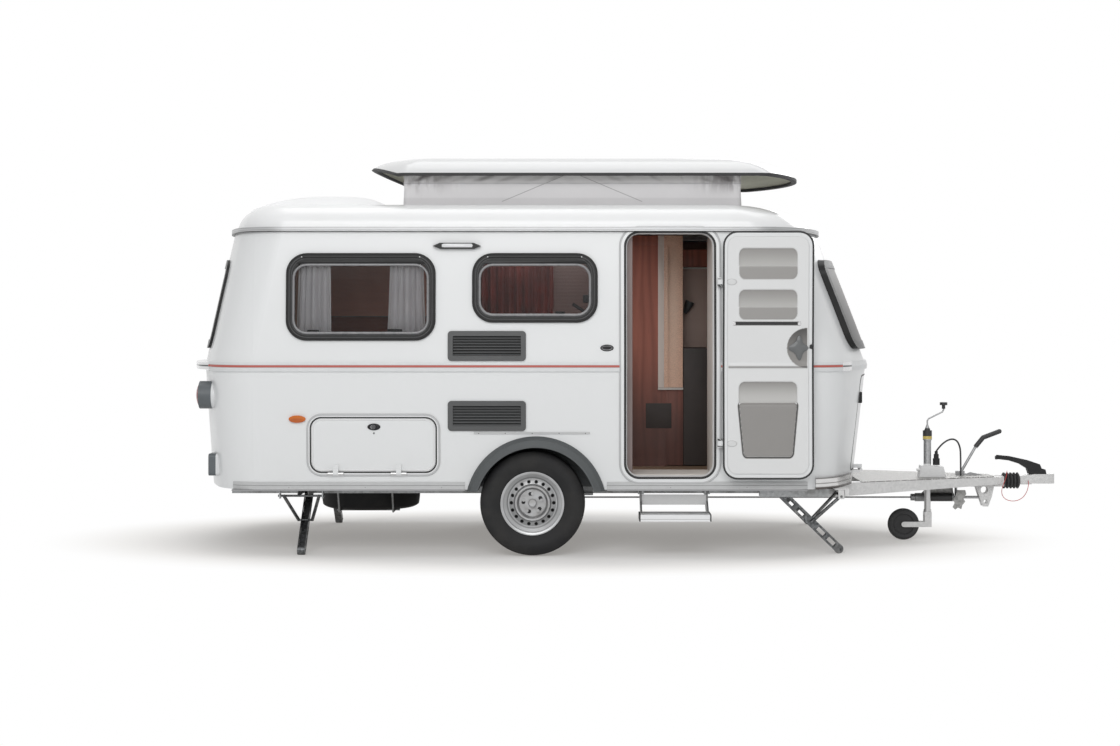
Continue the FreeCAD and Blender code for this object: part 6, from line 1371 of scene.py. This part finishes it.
def hinge_cover(face, place):
    """A raised oval cap with a dark line round it."""
    half_width, half_height = cover_half
    window = (place[0] - half_width, place[0] + half_width, place[1] - half_height, place[1] + half_height)
    cover = ease(box_distance(face.x, face.z, window, half_height - 0.0005), 0.006)
    outline = np.hypot((face.x - place[0]) / half_width, (face.z - place[1]) / half_height)
    face.lift = face.lift + cover_lift * cover
    face.shade = face.shade - 0.15 * cover - 0.75 * bell(outline - 1.08, 0.10)


def blind_slot(face):
    """The dark slot that the blind comes out of."""
    slot = ease(box_distance(face.x, face.z, inset(slot_box, 0.003), 0.004), 0.004)
    face.lift = face.lift - slot_sink * slot
    face.beige(slot)
    face.shade = face.shade * (1 - slot) - 0.9 * slot


def door_lining():
    """A height field over the lining's face: each form adds its lift times an easing step of its distance,
    and writes its tone and its shade into the map. The outer edge comes down to the leaf."""
    face = Relief()
    for window in pockets:
        pocket(face, window)
    waste_bin(face)
    lock_dish(face)
    cross_fold(face)
    for place in hinge_covers:
        hinge_cover(face, place)
    blind_slot(face)
    face.lift[[0, -1]] = 0.0002
    face.lift[:, [0, -1]] = 0.0002
    points = np.stack([face.x, -(door_inside(face.z) + face.lift), face.z], 2)
    return grid(points), np.stack([face.tone, face.shade], 2)


lining_part, lining_map = door_lining()
door_skin = piece("door_lining", [lining_part], liner, "door", uv=lining_map, sharp=None)
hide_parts("door_liner")

latch = (1.044, 1.060, 1.238, 1.268)
brush_edge = ((0, 0), (0, 0.002), (0.002, 0.003))
latch_edge = ((0, 0), (0, 0.004), (0.002, 0.006))
slot_end_edge = ((0, 0), (0, 0.010), (0.003, 0.013))
lever_steps = ((1.0, 0.004), (0.97, 0.009), (0.80, 0.012), (0.40, 0.0145))
lever_back, lever_squeeze = 0.044, 0.85


def door_edge():
    """Rubber round the leaf's inner edge, the slot's brush strip and the latch."""
    edge, section = inset(open_door, 0.004), oval(0.0055, 0.0050)
    return [
        side_bead(edge, door_radius - 0.004, section, out=0.001, face=door_inside),
        side_plate(inset(slot_box, 0.009), 0.003, brush_edge, 0.004, face=door_inside),
        side_plate(latch, 0.003, latch_edge, 0.0005, face=door_inside),
    ]


def slot_ends():
    """Bright caps at both ends of the blind's slot."""
    rear, front, foot, head = slot_box
    spans = ((rear, rear + 0.018), (front - 0.020, front))
    return [side_plate((*span, foot, head), 0.004, slot_end_edge, 0.001, face=door_inside) for span in spans]


def dish_lever():
    """A cross-shaped lever: its radius swings between arm and waist four times round, and it tapers up."""
    angle = np.linspace(0, 2 * np.pi, 48, endpoint=False)
    reach = 0.044 + 0.030 * np.cos(2 * angle) ** 4 - 0.006 * np.cos(angle)
    loops = []
    for share, rise in lever_steps:
        u = dish_place[0] - lever_back + share * reach * lever_squeeze * np.cos(angle)
        v = dish_place[1] + share * reach * np.sin(angle)
        loops.append(np.stack([u, -(door_inside(v) + rise), v], 1))
    return grid(np.array(loops), wrap_columns=True, cap_rows=True)


piece("door_edge", door_edge(), rubber, "door")
piece("slot_ends", slot_ends(), chrome, "door")
piece("dish_lever", [dish_lever()], lever_grey, "door")


# Fittings seen through the doorway: each piece's finish and its boxes, with two corners and an edge radius

nook = (0.3675, 0.540)
fittings = {
    # The wardrobe, the post and the screen up to the ceiling, the board below the screen and a cupboard
    "fitting_boards": (cherry, (
        ((-0.150, 0.301, board_head), (0.2525, 0.560, ceiling), 0.001),
        ((post_span[0], 0.281, board_head), (0.3645, 0.300, ceiling), 0.001),
        ((post_span[0], 0.281, screen_foot), (0.2345, 0.2995, board_head), 0.001),
        ((0.2530, 0.301, cabin_floor), (0.367, 0.318, screen_foot - 0.0005), 0.001),
        ((nook[0], 0.545, 1.765), (nook[1], 0.559, 1.880), 0.002))),
    # The sill under the post and the screen, the partition in front of the doorway, and its threshold
    "pale_fittings": (cream_board, (
        ((post_span[0] - 0.001, 0.278, screen_foot - 0.016), (0.367, 0.280, screen_foot - 0.0005), 0.0009),
        ((0.4795, -0.922, cabin_floor), (0.4890, -0.430, 1.915), 0.002),
        ((-0.030, -0.922, 0.4435), (0.4790, -0.560, 0.4860), 0.003))),
    # The edge of the cupboard beside the doorway, in a grey-brown board that paints the shade on it
    "jamb_strip": (shaded_jamb_board, (((-0.060, -0.905, 0.4865), (0.0015, -0.885, 1.915), 0.003),)),
    # The galley's front, in dark board deepened by painted shade, and a dark sheet behind the doorway
    # that paints the shade of a recess in the board
    "dark_fittings": (dark_board, (
        ((0.3680, 0.302, cabin_floor), (0.528, 0.560, 1.220), 0.004),
        ((0.1200, 0.2985, 0.690), (0.2900, 0.3004, 0.855), 0.0009))),
    # Pinkish wall board set in front of the shaded side wall, pale as painted light on it
    "wall_lining": (wall_board, (((nook[0], 0.550, 1.221), (nook[1], 0.559, 1.763), 0.002),)),
    "shelf_edge": (cream_board, (((nook[0], 0.538, 1.748), (nook[1], 0.5495, 1.762), 0.002),)),
}
for name, (finish, boxes) in fittings.items():
    piece(name, [rounded_box(*box) for box in boxes], finish, "caravan")

lamp_profile = ((0.012, 0), (0.018, 0.02), (0.030, 0.07), (0.030, 0.085))
lamp_foot, lamp_aim = (0.392, 0.500, 1.452), (0.42, -0.1, 1.0)
piece("reading_lamp", [turned(lamp_profile, lamp_foot, lamp_aim, 20)], mid_grey, "caravan")


# Curtains and blinds

def hung_cloth(x0, x1, z0, z1, y, folds, depth, flare, lean, seed):
    """Gathered cloth: waves across its width that deepen towards the hem, and a width that flares down.
    Returns its surface, its map laid flat, and its width laid flat."""
    random = np.random.default_rng(seed)
    s = np.linspace(0, 1, 12 * folds + 1)[:, None]
    t = np.linspace(0, 1, 30)[None, :]
    phase = np.cumsum(0.6 + random.random(s.shape[0]))[:, None]
    phase = phase / phase[-1] * folds * 2 * np.pi
    wide = 1 + flare * (1 - t) ** 1.5
    x = x0 + (x1 - x0) * s * wide + lean * (1 - t)
    wave = np.sin(phase + 0.5 * np.sin(3 * t)) * depth * (0.5 + 0.5 * (1 - t))
    wave = wave + 0.3 * depth * np.sin(2.3 * phase + 1)
    z = z0 + (z1 - z0) * t + 0 * s
    points = np.stack([x + 0.25 * wave * np.cos(phase), y + wave, z], 2)
    steps = np.linalg.norm(np.diff(points, axis=0), axis=2)
    rise = np.linalg.norm(np.diff(points, axis=1), axis=2)
    width = np.concatenate([np.zeros((1, points.shape[1])), np.cumsum(steps, 0)])
    area = float((steps[:, :-1] * rise[:-1]).sum())
    return grid(points), np.stack([width, z], 2), area / (z1 - z0)


def curtain(name, finish, x0, x1, z0, z1, y, folds, depth, flare, lean, seed):
    """A curtain that hangs from its rail inside a side window."""
    part, flat, width = hung_cloth(x0, x1, z0, z1, y, folds, depth, flare, lean, seed)
    made = piece(name, [part], finish, "caravan", uv=flat, sharp=None)


def blind(name, finish, x0, x1, z0, z1, y, pleats, depth):
    """A pleated blind: a triangle wave down its height, closed at head and foot."""
    rows = 2 * pleats + 1
    z = np.linspace(z0, z1, rows)[:, None]
    x = np.linspace(x0, x1, 8)[None, :]
    wave = depth * np.where(np.arange(rows) % 2, 1.0, -1.0)[:, None]
    down = np.arange(rows)[:, None] * math.hypot((z1 - z0) / (rows - 1), 2 * depth)
    points = np.stack([x + 0 * z, y + wave + 0 * x, z + 0 * x], 2)
    flat = np.stack([x + 0 * z, down + 0 * x], 2)
    made = piece(name, [grid(points)], finish, "caravan", uv=flat, smooth=False)


# Cloth, rear edge, front edge, foot, head, place across, folds, their depth, flare, lean and seed
curtain("sheer_rear_near", sheer, -1.995, -1.800, 1.315, 1.775, -0.940, 5, 0.022, 0.12, -0.02, 4)
curtain("sheer_front_near", sheer, -1.450, -1.245, 1.315, 1.775, -0.940, 5, 0.022, 0.16, -0.02, 8)
curtain("wine_curtain_far", wine_cloth, -1.03, -0.50, 1.400, 1.800, 0.915, 9, 0.020, 0.0, 0.0, 8)

# Cloth, rear edge, front edge, foot, head, place across, pleats and their depth
blind_rear, blind_front, rail_foot, rail_head = -2.150, -1.160, 1.424, 1.432
blind("rear_blind_far", brown_cloth, blind_rear, blind_front, rail_head, 1.815, 0.930, 16, 0.0006)
blind_rail = rounded_box((blind_rear, 0.922, rail_foot), (blind_front, 0.938, rail_head), 0.003)
piece("blind_rail_far", [blind_rail], bead_grey, "caravan")
blind("rear_blind_low", dark_cloth, blind_rear, blind_front, 1.285, rail_foot, 0.935, 6, 0.0006)
blind("mid_blind_far", taupe_cloth, -0.500, -0.150, 1.385, 1.815, 0.935, 18, 0.0004)
